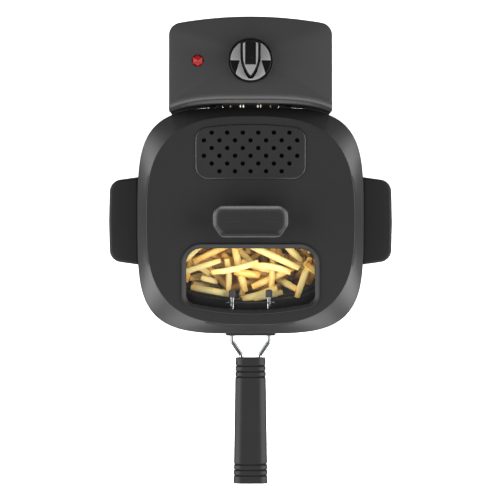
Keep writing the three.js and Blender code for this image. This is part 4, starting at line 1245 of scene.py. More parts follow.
class FRYER_OT_head(bpy.types.Operator):
    """Control head: one-piece cover with a round front lip and slots for heater and rails"""

    bl_idname = "fryer.head"
    bl_label = "Control Head"

    WALL = 2.5 * MM
    FRONT_LIP = 6 * MM
    EDGE = 1.2 * MM

    def skin_of(self, name, inset, foot, top):
        """The cover's outer form, or its hollow when inset by the wall."""
        below = top - 22 * MM
        levels = [
            lift(head_outline(inset, 1 * MM, 4 * MM, HEAD_FOOT), foot),
            lift(head_outline(inset, 0.5 * MM, 2 * MM, HEAD_FOOT), below),
            lift(head_outline(inset, 0.2 * MM, 0.8 * MM, HEAD_FOOT), top - 9 * MM),
            lift(head_outline(inset, 0.05 * MM, 0.2 * MM), top - self.FRONT_LIP),
        ]
        steps = 10
        for k in range(1, steps + 1):
            turn = math.pi / 2 * k / steps
            drawn = self.EDGE * (1 - math.cos(turn))
            front = (HEAD_FRONT[0] + self.FRONT_LIP * (1 - math.cos(turn)), HEAD_FRONT[1])
            z = top - self.FRONT_LIP + self.FRONT_LIP * math.sin(turn) ** 0.8
            levels.append(lift(head_outline(inset + drawn, front=front), z))
        return skin(name, levels)

    def execute(self, context):
        first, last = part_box("head_cover")
        cover = self.skin_of("head_casing", 0, first.z, last.z)
        knob, lens = KNOB, middle("pilot_lens")
        gland, reset = middle("cord_gland"), middle("reset_button")
        front, back = POT_Y + HEAD_FOOT[0], last.y
        tube_x, tube_z = high("cutout_bulb").x, high("heating_element").z
        dock_top = high("docking_bracket").z

        def drill(x, y, z, radius, length, turn=None):
            profile = [(0, 0), (radius, 0), (radius, length), (0, length)]
            return turned("drill", profile, (x, y, z), ROUND, turn)

        cutters = [
            self.skin_of("hollow", self.WALL, first.z - 1 * MM, last.z - self.WALL),
            box(
                "tube_slot",
                (-tube_x - 2 * MM, front - 4 * MM, tube_z - 2 * TUBE_RADIUS - 0.5 * MM),
                (tube_x + 2 * MM, front + 11 * MM, tube_z + 0.5 * MM),
            ),
            drill(knob.x, knob.y, last.z - 8 * MM, 3.5 * MM, 10 * MM),
            drill(lens.x, lens.y, last.z - 8 * MM, high("pilot_lens").x - lens.x + FIT, 10 * MM),
            drill(gland.x, back + 5 * MM, gland.z, 9.3 * MM, 25 * MM, LIE),
            drill(reset.x, back + 5 * MM, reset.z, 4.5 * MM, 25 * MM, LIE),
        ]
        for x in (-RAIL_X, RAIL_X):
            cutters.append(
                box(
                    "rail_slot",
                    (x - 3.5 * MM, front - 12 * MM, first.z - 1 * MM),
                    (x + 3.5 * MM, front + 5.5 * MM, dock_top + 0.5 * MM),
                )
            )
        carve(cover, *cutters)
        finish_piece(cover, "head", black_plastic(), "black_plastic", "head_cover")
        return {"FINISHED"}


class FRYER_OT_knob(bpy.types.Operator):
    """Thermostat knob: black body, grey faces painted as lit highlights, a leaf-shaped ridge and its
    dark pointer bar
    """

    bl_idname = "fryer.knob"
    bl_label = "Thermostat Knob"

    def execute(self, context):
        first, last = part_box("control_knob")
        centre, radius = KNOB, (last.x - first.x) / 2
        foot, top = first.z, last.z
        disc_top = foot + 8 * MM
        face = 0.5 * MM  # how thick the grey faces are; their grey is painted highlight
        deep = disc_top - 3.2 * MM  # floor of the two dark finger hollows

        def here(points):
            return [(centre.x + x * MM, centre.y + y * MM) for x, y in points]

        body = turned(
            "knob_body",
            [
                (0, foot),
                (radius - 0.6 * MM, foot),
                (radius, foot + 0.8 * MM),
                (radius, deep - 0.8 * MM),
                (radius - 0.7 * MM, deep),
                (0, deep),
            ],
            (centre.x, centre.y, 0),
            96,
        )
        rim = radius / MM - 0.7
        upper = arc(0, 0, rim, 0, 180, 48)
        wedge_lean = math.degrees(math.asin(16.2 / rim))
        wedge = [
            (-11.6, -0.01),
            *arc(0, 0, rim, 270 - wedge_lean, 270 + wedge_lean, 24),
            (11.6, -0.01),
        ]
        leaf_front, leaf_back = -18.6, rim - 0.4
        leaf_steps = 16
        right = []
        for k in range(leaf_steps + 1):
            t = k / leaf_steps
            y = leaf_front + (leaf_back - leaf_front) * t
            half = 9.4 * math.sin(math.pi / 2 * min(1, t * 1.75 + 0.015)) ** 0.8
            right.append((min(half, math.sqrt(max(rim**2 - y**2, 0.5)) - 0.3), y))
        leaf = right + [(-x, y) for x, y in reversed(right)]

        def moat(points, out):
            """The leaf grown outwards, for the dark gap round it."""
            return [(x + math.copysign(out, x), y - (out if y < -10 else 0)) for x, y in points]

        def slab(name, points, low_z, high_z, edge=0.4 * MM):
            made = skin(name, [lift(here(points), low_z), lift(here(points), high_z)])
            return bevel(made, edge, 2, 50)

        # the raised faces are grey: painted highlight for the light that falls on them
        decks = [slab("deck", half_face, deep - 1 * MM, disc_top) for half_face in (upper, wedge)]
        painted_highlight_decks = joined("knob_faces", decks)
        gap = here(moat(leaf, 1.6))
        moat_cut = skin("moat", [lift(gap, deep - 2 * MM), lift(gap, top + MM)])
        carve(painted_highlight_decks, moat_cut)
        leaf_body = slab("leaf", leaf, deep - 1 * MM, top - face, 0.3 * MM)
        inner = [(x * 0.86, y * 0.93 + 0.2) for x, y in leaf]
        leaf_face = slab("leaf_face", inner, top - face - 0.2 * MM, top, 0.25 * MM)

        bar_first, bar_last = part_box("knob_insert")
        slot_x = bar_last.x + 0.4 * MM
        slot = (
            (-slot_x, bar_first.y - 0.5 * MM, bar_first.z - FIT),
            (slot_x, bar_last.y + 6 * MM, top + MM),
        )
        carve(leaf_body, box("slot", *slot))
        carve(leaf_face, box("slot", *slot))
        carve(body, leaf_body, operation="UNION")
        faces = joined("knob_faces_grey", [painted_highlight_decks, leaf_face])
        pointer = box("pointer", bar_first, bar_last)
        bevel(pointer, 0.7 * MM, 3)
        finish_piece(body, "knob", gloss_black(), "gloss_plastic", "control_knob")
        # the grey faces carry painted highlight, the lit look of the knob's raised black faces
        finish_piece(faces, "knob", knob_plastic(colours().knob), "knob_plastic")
        pointer_look = gloss_plastic("Pointer plastic", 0.004)
        finish_piece(pointer, "knob", pointer_look, "gloss_plastic", "knob_insert")

        first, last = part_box("dial_ring")
        outer, inner = (last.x - first.x) / 2, radius + 0.5 * MM
        profile = rounded(
            [(inner, first.z), (outer, first.z), (outer, last.z), (inner, last.z)], 0.4 * MM
        )
        dial = turned_ring("dial_bezel", profile, centre)
        finish_piece(dial, "head", gloss_black(), "gloss_plastic", "dial_ring")
        return {"FINISHED"}


class FRYER_OT_lamp(bpy.types.Operator):
    """Pilot lamp's faceted lens and the reset button"""

    bl_idname = "fryer.lamp"
    bl_label = "Pilot Lamp"

    def execute(self, context):
        first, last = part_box("pilot_lens")
        at, radius = (first + last) / 2, (last.x - first.x) / 2
        shoulder = last.z - 2.4 * MM
        lens = turned(
            "lamp_lens",
            [
                (0, first.z),
                (radius, first.z),
                (radius, shoulder - 0.6 * MM),
                (radius - 0.6 * MM, shoulder),
                (radius - 1.1 * MM, shoulder),
                (0, last.z),
            ],
            (at.x, at.y, 0),
            6,
            Matrix.Rotation(math.radians(30), 4, "Z"),
        )
        red = red_lens(tuple(colours().lamp))
        finish_piece(lens, "head", red, "red_lens", "pilot_lens", angle=math.radians(12))

        first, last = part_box("reset_button")
        at, radius = (first + last) / 2, (last.x - first.x) / 2
        length = last.y - first.y
        profile = rounded([(0, 0), (radius, 0), (radius, length), (0, length)], 0.8 * MM)
        button = turned("reset_cap", profile, (at.x, last.y, at.z), ROUND, LIE)
        # the reset button shares the lamp's glowing lens: its glow is painted light, as it has no lamp
        finish_piece(button, "reset", red, "red_button", "reset_button")
        return {"FINISHED"}


# ---- Housing ----------------------------------------------------------------------------------


class FRYER_OT_housing(bpy.types.Operator):
    """Housing: steel wall, black collar round its top and base tray round its foot"""

    bl_idname = "fryer.housing"
    bl_label = "Housing"

    def execute(self, context):
        first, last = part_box("outer_housing")
        half, wall = last.x, 1 * MM
        bead, bead_foot, bead_width = 0.6 * MM, first.z + 26 * MM, 5 * MM
        profile = [(half, first.z)]
        for k in range(9):  # a shallow pressed bead low on the wall
            t = k / 8
            profile.append((half - bead * math.sin(math.pi * t), bead_foot + bead_width * t))
        profile += [
            (half, last.z),
            (half - wall, last.z),
            (half - wall, first.z),
        ]
        made = skin("housing_wall", squares(profile), closed=True)
        steel = brushed_steel("Brushed housing steel", "level", 0.62)
        finish_piece(made, "base", steel, "brushed_steel", "outer_housing")

        first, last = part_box("top_collar")
        outer = last.x
        inner = high("outer_housing").x + FIT
        bore = middle("oil_tank").x + TANK_OUTER + 1 * MM
        plate_foot = last.z - 4 * MM
        profile = [
            (inner, first.z),
            (outer - 0.8 * MM, first.z),
            (outer - 0.2 * MM, first.z + 0.3 * MM),
            (outer, first.z + 0.9 * MM),
            (outer, last.z - 1.4 * MM),
            (outer - 0.3 * MM, last.z - 0.5 * MM),
            (outer - 1 * MM, last.z),
            (bore, last.z),
            (bore, plate_foot),
            (inner, plate_foot),
        ]
        made = skin("housing_collar", squares(profile), closed=True)
        finish_piece(made, "base", black_plastic(), "black_plastic", "top_collar")

        first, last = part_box("base_tray")
        outer = last.x
        floor = first.z + 3 * MM
        profile = [
            (outer - 2.4 * MM, first.z),
            (outer - 1.6 * MM, first.z + 0.3 * MM),
            (outer - 0.3 * MM, first.z + 1.8 * MM),
            (outer, first.z + 2.6 * MM),
            (outer, last.z - 0.6 * MM),
            (outer - 0.3 * MM, last.z - 0.1 * MM),
            (outer - 0.6 * MM, last.z),
            (inner, last.z),
            (inner, floor),
        ]
        tray = skin("base_pan", squares(profile))
        vents = []
        slot_half, slot_reach, slot_pitch = 1.6 * MM, 34 * MM, 10 * MM
        for k in range(-3, 4):  # cooling slots under the middle
            x = k * slot_pitch
            low_end = (x - slot_half, POT_Y - slot_reach, first.z - 1 * MM)
            high_end = (x + slot_half, POT_Y + slot_reach, floor + 1 * MM)
            vents.append(box("vent_slot", low_end, high_end))
        carve(tray, *vents)
        finish_piece(tray, "base", inner_plastic(), "inner_plastic", "base_tray")
        return {"FINISHED"}


class FRYER_OT_side_handles(bpy.types.Operator):
    """Side handles, hollow below, with a soft top edge"""

    bl_idname = "fryer.side_handles"
    bl_label = "Side Handles"

    def execute(self, context):
        for side, place in ((-1, "left"), (1, "right")):
            node = f"{place}_handle"
            first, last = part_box(node)
            profile = [
                (3.2, first.z + 0.6 * MM),
                (2.9, first.z),
                (0.6, first.z),
                (0.0, first.z + 0.8 * MM),
                (0.0, last.z - 3.4 * MM),
                (0.3, last.z - 1.9 * MM),
                (1.1, last.z - 0.7 * MM),
                (2.6, last.z - 0.05 * MM),
                (3.6, last.z),
            ]
            levels = [lift(side_handle_outline(inset * MM), z) for inset, z in profile]
            ceiling = lift(side_handle_outline(3.2 * MM), last.z - 3.2 * MM)
            made = skin("grasp", [ceiling, *levels])
            near, far = low("right_handle").x, high("right_handle").x
            ribs = []
            for k in range(-3, 4):  # stiffening ribs inside the grasp
                y = POT_Y + k * 12 * MM
                rib = box(
                    "rib",
                    (near + 3 * MM, y - 0.8 * MM, last.z - 12 * MM),
                    (far - 4 * MM, y + 0.8 * MM, last.z - 3 * MM),
                )
                ribs.append(rib)
            whole = joined(f"{place}_grasp", [made, *ribs])
            if side < 0:
                half_turn = Matrix.Rotation(math.pi, 4, "Z")
                shift = Matrix.Translation((0, POT_Y, 0))
                whole.data.transform(shift @ half_turn @ shift.inverted())
            finish_piece(whole, "base", handle_plastic(), "black_plastic", node)
        return {"FINISHED"}


# ---- Oil tank and heater ----------------------------------------------------------------------


class FRYER_OT_tank(bpy.types.Operator):
    """Oil tank: coated pan with a broad rim and two level marks"""

    bl_idname = "fryer.tank"
    bl_label = "Oil Tank"

    def execute(self, context):
        first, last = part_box("oil_tank")
        wall, fillet = 1.2 * MM, 15 * MM
        rim, under = last.x, last.z - 3.7 * MM
        outer, inner = TANK_OUTER, TANK_OUTER - wall

        def bowl(half, floor, top, radius):
            """Rings of the pan's side from its floor's edge up."""
            rings = []
            steps = 8
            for k in range(steps + 1):
                turn = math.pi / 2 * k / steps
                out = half - TANK_DRAFT - radius * (1 - math.sin(turn))
                rings.append(square(out, floor + radius * (1 - math.cos(turn))))
            return [*rings, square(half, top)]

        levels = [
            *bowl(outer, first.z, under, fillet + wall),
            *squares(
                [
                    (rim - 1 * MM, under),
                    (rim - 0.3 * MM, under + 0.3 * MM),
                    (rim, under + 1 * MM),
                    (rim, last.z - 1.2 * MM),
                    (rim - 0.3 * MM, last.z - 0.4 * MM),
                    (rim - 1 * MM, last.z),
                    (outer + 0.6 * MM, last.z),
                    (outer - 0.4 * MM, last.z - 0.4 * MM),
                ]
            ),
            *reversed(bowl(inner, first.z + wall, last.z - 1.8 * MM, fillet)),
        ]
        pan = skin("tank_pan", levels)
        marks = []
        depth = last.z - first.z
        for share, length in ((0.46, 26 * MM), (0.7, 34 * MM)):  # lowest and highest oil level
            z = first.z + depth * share
            y = POT_Y - inner + TANK_DRAFT * (1 - share) + 0.3 * MM
            marks.append(tube("mark", [(-length / 2, y, z), (length / 2, y, z)], 0.8 * MM, 10))
        whole = joined("tank_coated", [pan, *marks])
        finish_piece(whole, "tank", non_stick(), "non_stick", "oil_tank")
        return {"FINISHED"}


class FRYER_OT_heater(bpy.types.Operator):
    """Heating element, and two sensor bulbs with their capillary tubes"""

    bl_idname = "fryer.heater"
    bl_label = "Heater"

    def execute(self, context):
        first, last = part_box("heating_element")
        plane, over = first.z + TUBE_RADIUS, last.z - TUBE_RADIUS
        leg_y = POT_Y + LEG_OUT
        legs = [(LEG_X, last.y, over), (LEG_X, leg_y, over), (LEG_X, leg_y, plane)]
        half_path = legs + [
            (x, POT_Y + y, plane)
            for x, y in (
                (LEG_X, COIL_BACK),
                (COIL_HALF, COIL_BACK),
                (COIL_HALF, COIL_FRONT),
                (COIL_HALF * 0.6, COIL_FRONT),
                (COIL_HALF * 0.6, COIL_INNER),
                (COIL_HALF * 0.2, COIL_INNER),
                (COIL_HALF * 0.2, COIL_FRONT),
            )
        ]
        mirrored = [(-x, y, z) for x, y, z in half_path]
        path = bent([*mirrored, *reversed(half_path)], TUBE_BEND)
        made = tube("element_tube", path, TUBE_RADIUS)
        finish_piece(made, "head", heated_steel(), "dark_steel", "heating_element")

        for side, node in ((-1, "thermostat_bulb"), (1, "cutout_bulb")):
            first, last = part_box(node)
            x, thick = side * BULB_X, 3 * MM
            top = first.z + BULB_LENGTH
            profile = rounded(
                [
                    (0, first.z),
                    (thick, first.z),
                    (thick, top - 6 * MM),
                    (1.6 * MM, top - 2 * MM),
                    (1.6 * MM, top),
                    (0, top),
                ],
                1.2 * MM,
            )
            bulb = turned("bulb", profile, (x, leg_y, 0), 28)
            capillary = 1 * MM
            over = last.z - capillary
            corners = [(x, last.y, over), (x, leg_y, over), (x, leg_y, top - capillary)]
            line = tube("capillary", bent(corners, TUBE_BEND), capillary, 12)
            made = joined(f"{node}_drawn", [bulb, line])
            finish_piece(made, "head", copper(), "copper", node)
        return {"FINISHED"}


# ---- Basket -----------------------------------------------------------------------------------


def basket_half(z, out=0.0):
    """Half the basket's width and depth at a height, from its floor's edge up."""
    first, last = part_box("basket_mesh")
    half_x, half_y = last.x, (last.y - first.y) / 2
    level = first.z + BASKET_FILLET
    if z >= level:
        drawn = BASKET_DRAFT * (1 - (z - level) / (last.z - level))
    else:
        t = min(1.0, (level - z) / BASKET_FILLET)
        drawn = BASKET_DRAFT + BASKET_FILLET * (1 - math.sqrt(max(0.0, 1 - t * t)))
    return half_x - drawn + out, half_y - drawn + out


def across(share, z, along_x, out=0.0):
    """The point of the basket's wall where a wire at a share of its breadth stands."""
    half_x, half_y = basket_half(z, out)
    rest = (1 - abs(share) ** BASKET_POWER) ** (1 / BASKET_POWER)
    return (half_x * rest, half_y * share) if along_x else (half_x * share, half_y * rest)


class FRYER_OT_basket(bpy.types.Operator):
    """Frying basket: woven wire wall and floor, rim, base frame and handle bracket"""

    bl_idname = "fryer.basket"
    bl_label = "Basket"

    def execute(self, context):
        first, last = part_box("basket_mesh")
        wire = sizes().mesh_wire
        pitch = sizes().mesh_pitch
        floor, top = first.z + wire, last.z - 0.5 * MM
        wall_levels = list(np.linspace(floor + BASKET_FILLET, top, 14))
        fillet_levels = [
            floor + BASKET_FILLET * (1 - math.cos(math.pi / 2 * k / 5)) for k in range(1, 5)
        ]
        levels = [floor, *fillet_levels, *wall_levels]
        vertices, edges = [], []

        def wire_through(points, closed=False):
            start = len(vertices)
            vertices.extend(points)
            count = len(points)
            edges.extend((start + k, start + k + 1) for k in range(count - 1))
            if closed:
                edges.append((start + count - 1, start))

        for along_x in (True, False):
            reach = (last.y - first.y) / 2 if along_x else last.x
            count = int(reach * 1.9 / pitch)
            inward = -wire if along_x else -wire * 2.6  # one family lies on the other
            for k in range(count):
                share = (k / (count - 1) * 2 - 1) * 0.95
                rise = []
                for z in levels:
                    x, y = across(share, z, along_x, inward)
                    rise.append((x, y, z + (0 if along_x else wire * 1.6) * (z == floor)))
                if along_x:
                    there = [(-x, y + POT_Y, z) for x, y, z in reversed(rise)]
                    back = [(x, y + POT_Y, z) for x, y, z in rise]
                else:
                    there = [(x, POT_Y - y, z) for x, y, z in reversed(rise)]
                    back = [(x, POT_Y + y, z) for x, y, z in rise]
                wire_through(there + back)
        hoops = int((top - floor - BASKET_FILLET) / pitch)
        for k in range(hoops + 1):
            z = floor + BASKET_FILLET * 0.7 + (top - floor - BASKET_FILLET * 0.7) * k / hoops
            half_x, half_y = basket_half(z, -wire * 4.0)
            wire_through(list(rounded_square(half_x, half_y, BASKET_POWER, z, 120)), closed=True)
        made = mesh_object("basket_wires", vertices, [], edges)
        chrome = chrome_wire()
        grown(made, wire_tree(), Wire_Radius=wire, Wire_Sides=6, Material=chrome)
        finish_piece(made, "basket", chrome, "chrome_wire", "basket_mesh", angle=math.radians(75))

        first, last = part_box("basket_rim")
        half_x, half_y = last.x - RIM_WIRE, (last.y - first.y) / 2 - RIM_WIRE
        path = rounded_square(half_x, half_y, BASKET_POWER, last.z - RIM_WIRE, 160)
        made = tube("basket_rim_wire", path, RIM_WIRE, 16, closed=True)
        finish_piece(made, "basket", chrome, "chrome_wire", "basket_rim")

        first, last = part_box("basket_frame")
        half_x, half_y = last.x - RIM_WIRE, (last.y - first.y) / 2 - RIM_WIRE
        z = (first.z + last.z) / 2
        path = rounded_square(half_x, half_y, BASKET_POWER, z, 160)
        parts = [tube("ring", path, RIM_WIRE, 14, closed=True)]
        for x in (-half_x / 3, half_x / 3):
            parts.append(tube("bar", [(x, POT_Y - half_y, z), (x, POT_Y + half_y, z)], RIM_WIRE, 14))
        made = joined("basket_base_wires", parts)
        finish_piece(made, "basket", chrome, "chrome_wire", "basket_frame")

        first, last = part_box("handle_bracket")
        corner = 5 * MM
        flat = [
            *arc(last.x - corner, last.z - corner, corner, 0, 90, 8),
            *arc(first.x + corner, last.z - corner, corner, 90, 180, 8),
            *arc(first.x + corner, first.z + corner, corner, 180, 270, 8),
            *arc(last.x - corner, first.z + corner, corner, 270, 360, 8),
        ]
        rings = [[(x, y, z) for x, z in flat] for y in (last.y, first.y)]
        made = skin("bracket_sheet", [np.array(r) for r in rings])
        holes = []
        for x in (-WIRE_X, WIRE_X):
            profile = [(0, 0), (2.8 * MM, 0), (2.8 * MM, 6 * MM), (0, 6 * MM)]
            holes.append(turned("hole", profile, (x, last.y + 3 * MM, WIRE_Z), 32, LIE))
        carve(made, *holes)
        bevel(made, 0.25 * MM, 2)
        # the bracket's steel is darkened to near black: painted shade for the shadowed band under the
        # lid's front
        steel = brushed_steel("Dark bracket steel", "x", 0.12)
        finish_piece(made, "basket", steel, "brushed_steel", "handle_bracket")
        return {"FINISHED"}


class FRYER_OT_basket_handle(bpy.types.Operator):
    """Basket handle's bent wire and its two rubber tips"""

    bl_idname = "fryer.basket_handle"
    bl_label = "Basket Handle"

    def execute(self, context):
        first = low("handle_wire")
        sides = []
        for side in (-1, 1):
            sides.append(
                [
                    (side * WIRE_X, POT_Y + WIRE_TIP, WIRE_Z),
                    (side * WIRE_X, POT_Y + WIRE_KNEE, WIRE_Z),
                    (side * WIRE_NECK, POT_Y + WIRE_WAIST, WIRE_Z),
                    (side * WIRE_NECK, first.y + WIRE_RADIUS, WIRE_Z),
                ]
            )
        path = bent([*sides[0], *reversed(sides[1])], 5 * MM, 10)
        made = tube("handle_wire_bent", path, WIRE_RADIUS, 24)
        finish_piece(made, "basket", chrome_wire(), "chrome_wire", "handle_wire")

        bore, bore_end = WIRE_RADIUS + 0.1 * MM, 2.4 * MM
        for side, place in ((-1, "left"), (1, "right")):
            node = f"wire_tip_{place}"
            first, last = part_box(node)
            radius = (last.x - first.x) / 2
            length = last.y - first.y
            profile = [(0, 0), (radius * 0.5, 0.1 * MM), (radius * 0.85, 0.7 * MM), (radius, 2 * MM)]
            profile += [(radius, length - 1 * MM), (radius - 0.4 * MM, length)]
            profile += [(bore, length), (bore, bore_end), (0, bore_end)]
            tip = turned(f"{node}_cap", profile, (side * WIRE_X, last.y, WIRE_Z), 32, LIE)
            finish_piece(tip, "basket", rubber(), "rubber", node)
        return {"FINISHED"}


class FRYER_OT_grip(bpy.types.Operator):
    """Basket grip: two moulded halves with broad chamfers and three grooves at each end"""

    bl_idname = "fryer.grip"
    bl_label = "Basket Grip"

    THICK = 24 * MM
    CHAMFER = 7 * MM
    GROOVE_DEPTH = 1.2 * MM
    GROOVE_WIDTH = 2.4 * MM
    GROOVE_PITCH = 6.1 * MM
    GROOVE_INSET = 9 * MM
    START_HALF = 16.65 * MM
    ROUND_END = 2.2 * MM

    def section(self, y, inset, start, length, end_half):
        """One section, its eight corners rounded."""
        along = (start - y) / length
        half = self.START_HALF + (end_half - self.START_HALF) * along - inset
        thick = self.THICK / 2 - inset
        flat = half - self.CHAMFER
        side = thick - self.CHAMFER * 0.6
        corners = [
            (half, -side),
            (half, side),
            (flat, thick),
            (-flat, thick),
            (-half, side),
            (-half, -side),
            (-flat, -thick),
            (flat, -thick),
        ]
        ring = []
        soft = 2.8 * MM
        for k, corner in enumerate(corners):
            b = Vector(corner)
            a, c = Vector(corners[k - 1]), Vector(corners[(k + 1) % len(corners)])
            start_at = b + (a - b).normalized() * soft
            end_at = b + (c - b).normalized() * soft
            for step in range(6):
                t = step / 5
                ring.append(start_at * (1 - t) ** 2 + b * 2 * t * (1 - t) + end_at * t**2)
        return np.array([(p.x, y, WIRE_Z + p.y) for p in ring])

    def execute(self, context):
        first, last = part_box("grip_upper")
        start, end, end_half = last.y, first.y, last.x
        length = start - end
        stations = []
        for k in range(7):
            turn = math.pi / 2 * k / 6
            y = self.ROUND_END * (1 - math.sin(turn))
            stations.append((y, self.ROUND_END * (1 - math.cos(turn))))
        stations = [(self.ROUND_END - y, inset) for y, inset in reversed(stations)]
        ends = [(start - offset, inset) for offset, inset in stations]
        grooves = [self.GROOVE_INSET + k * self.GROOVE_PITCH for k in range(3)]
        spans = []
        for middle_at in [start - g for g in grooves] + [end + g for g in reversed(grooves)]:
            for k in range(9):
                t = k / 8 * 2 - 1
                depth = self.GROOVE_DEPTH * (0.5 + 0.5 * math.cos(math.pi * t)) ** 0.7
                spans.append((middle_at - t * self.GROOVE_WIDTH / 2, depth))
        tail = [(end + offset, inset) for offset, inset in reversed(stations)]
        rings = [self.section(y, inset, start, length, end_half) for y, inset in ends + spans + tail]
        seam = 0.15 * MM

        for node, low_z, high_z in (
            ("grip_upper", WIRE_Z + seam, WIRE_Z + 40 * MM),
            ("grip_lower", WIRE_Z - 40 * MM, WIRE_Z - seam),
        ):
            whole = skin(f"{node}_moulding", rings)
            low_end, high_end = (-60 * MM, end - 10 * MM, low_z), (60 * MM, start + 10 * MM, high_z)
            carve(whole, box("half", low_end, high_end), operation="INTERSECT")
            x, r = WIRE_NECK, WIRE_RADIUS + 0.15 * MM
            reach = start - low("handle_wire").y + 1 * MM
            bores = []
            for side in (-1, 1):
                profile = [(0, 0), (r, 0), (r, reach + 1 * MM), (0, reach + 1 * MM)]
                bores.append(turned("bore", profile, (side * x, start + 1 * MM, WIRE_Z), 24, LIE))
            pocket = box(
                "pocket",
                (-x - r, start - reach - 1 * MM, WIRE_Z - r),
                (x + r, start - 8 * MM, WIRE_Z + r),
            )
            screws = []
            for place in ("front", "rear"):
                screw = middle(f"grip_screw_{place}")
                foot = low("grip_lower").z
                head, shank = 4.1 * MM, 2.3 * MM
                seat, tip = foot + 3.2 * MM, foot + 18 * MM
                profile = [(0, foot - MM), (head, foot - MM), (head, seat), (shank, seat), (shank, tip)]
                profile.append((0, tip))
                screws.append(turned("screw_bore", profile, (0, screw.y, 0), 28))
            carve(whole, *bores, pocket, *screws)
            soft_angle = math.radians(40)
            finish_piece(whole, "basket", handle_plastic(), "black_plastic", node, angle=soft_angle)
        return {"FINISHED"}


# ---- Chips ------------------------------------------------------------------------------------


def chip_template(width, bend):
    """One chip of unit length along X: a soft-edged square bar with uneven ends."""
    stations, per_side = 5, 2
    half = width / 2
    vertices, faces, crust = [], [], []
    section = []
    for corner in range(4):
        turn = math.pi / 2 * corner
        for k in range(per_side):
            t = k / per_side
            y, z = (0.9 if k == 0 else 1.0), -0.78 + 1.56 * t
            section.append(
                (y * math.cos(turn) - z * math.sin(turn), y * math.sin(turn) + z * math.cos(turn))
            )
    count = len(section)
    for s in range(stations):
        t = s / (stations - 1) * 2 - 1
        x = t * 0.5
        taper = 1.0 if abs(t) < 0.99 else 0.8
        sag = bend * (1 - t * t)
        for k, (y, z) in enumerate(section):
            vertices.append((x, y * half * taper, z * half * taper + sag))
            edge = 1.0 if k % per_side == 0 else 0.12
            crust.append(1.0 if abs(t) > 0.99 else edge + 0.25 * abs(t) ** 4)
    for s in range(stations - 1):
        for k in range(count):
            n = (k + 1) % count
            base, top = s * count, (s + 1) * count
            faces.append((base + k, base + n, top + n, top + k))
    for s, flip in ((0, True), (stations - 1, False)):
        x = (s / (stations - 1) * 2 - 1) * 0.515
        vertices.append((x, 0, 0))
        crust.append(0.8)
        centre = len(vertices) - 1
        for k in range(count):
            a, b = s * count + k, s * count + (k + 1) % count
            faces.append((centre, b, a) if flip else (centre, a, b))
    made = mesh_object("chip", vertices, faces)
    made.data.attributes.new("crust", "FLOAT", "POINT").data.foreach_set("value", crust)
    return made


def basket_map(half_x, half_y):
    """Heights of the empty basket on a grid, and of its rim outside it."""
    floor, rim = low("basket_mesh").z + 1.5 * MM, high("basket_rim").z
    nx, ny = int(2 * half_x / CHIP_CELL) + 2, int(2 * half_y / CHIP_CELL) + 2
    x, y = np.meshgrid(
        np.arange(nx) * CHIP_CELL - half_x, np.arange(ny) * CHIP_CELL - half_y, indexing="ij"
    )
    heights = np.full((nx, ny), rim + 0.4 * MM)
    for z in np.linspace(high("basket_mesh").z, floor, 30):  # the drafted wall, then the floor
        heights[squareness(x, y, *basket_half(z, -3 * MM)) < 1] = z
    return heights


def squareness(x, y, half_x, half_y):
    """Below 1 inside a rounded square of the basket's form, above 1 outside it."""
    return (np.abs(x) / half_x) ** BASKET_POWER + (np.abs(y) / half_y) ** BASKET_POWER


def drop_chips(count, width, seed):
    """Drops chips one after another onto a height map of the basket and gives each one's rest."""
    random = np.random.default_rng(seed)
    half_x, half_y = basket_half(high("basket_mesh").z, 5 * MM)
    heights = basket_map(half_x, half_y)
    under_wires = WIRE_Z - 3.4 * MM
    pressed = width * CHIP_PRESSED
    dropped = []
    for number in range(count):
        best = None
        longest = CHIP_LONGEST if number < count * CHIP_LONG_SHARE else CHIP_SHORTER
        for _ in range(CHIP_TRIES):
            length = random.uniform(0.45, 1.0) * longest
            angle = random.uniform(0, math.pi)
            x, y = random.uniform(-half_x, half_x), random.uniform(-half_y, half_y)
            c, s = math.cos(angle), math.sin(angle)
            along = np.linspace(-length / 2, length / 2, int(length / CHIP_CELL) + 1)
            side = np.linspace(-width / 2, width / 2, 3)
            px = x + along[:, None] * c - side[None, :] * s
            py = y + along[:, None] * s + side[None, :] * c
            if (squareness(px, py, half_x, half_y) > 1).any():
                continue
            i = ((px + half_x) / CHIP_CELL).round().astype(int)
            j = ((py + half_y) / CHIP_CELL).round().astype(int)
            ground = heights[i, j].max(1)
            half = len(along) // 2
            a, b = ground[:half].argmax(), half + ground[half:].argmax()
            slope = (ground[b] - ground[a]) / max(along[b] - along[a], CHIP_CELL)
            slope = float(np.clip(slope, -CHIP_STEEPEST, CHIP_STEEPEST))
            base = float(np.percentile(ground - slope * along, CHIP_SETTLED))
            top = base + slope * along + width
            limit = np.where(py.min(1) < WIRE_TIP + 14 * MM, under_wires, CHIP_TOP)
            if (top > limit).any():
                continue
            if best is None or base < best[0]:
                best = (base, x, y, angle, length, slope, i, j, top)
        if best is None:
            continue
        base, x, y, angle, length, slope, i, j, top = best
        np.maximum.at(heights, (i, j), (top - pressed)[:, None] + np.zeros(i.shape))
        dropped.append((x, y, base + width / 2 - pressed, angle, -math.atan(slope), length))
    return dropped, random


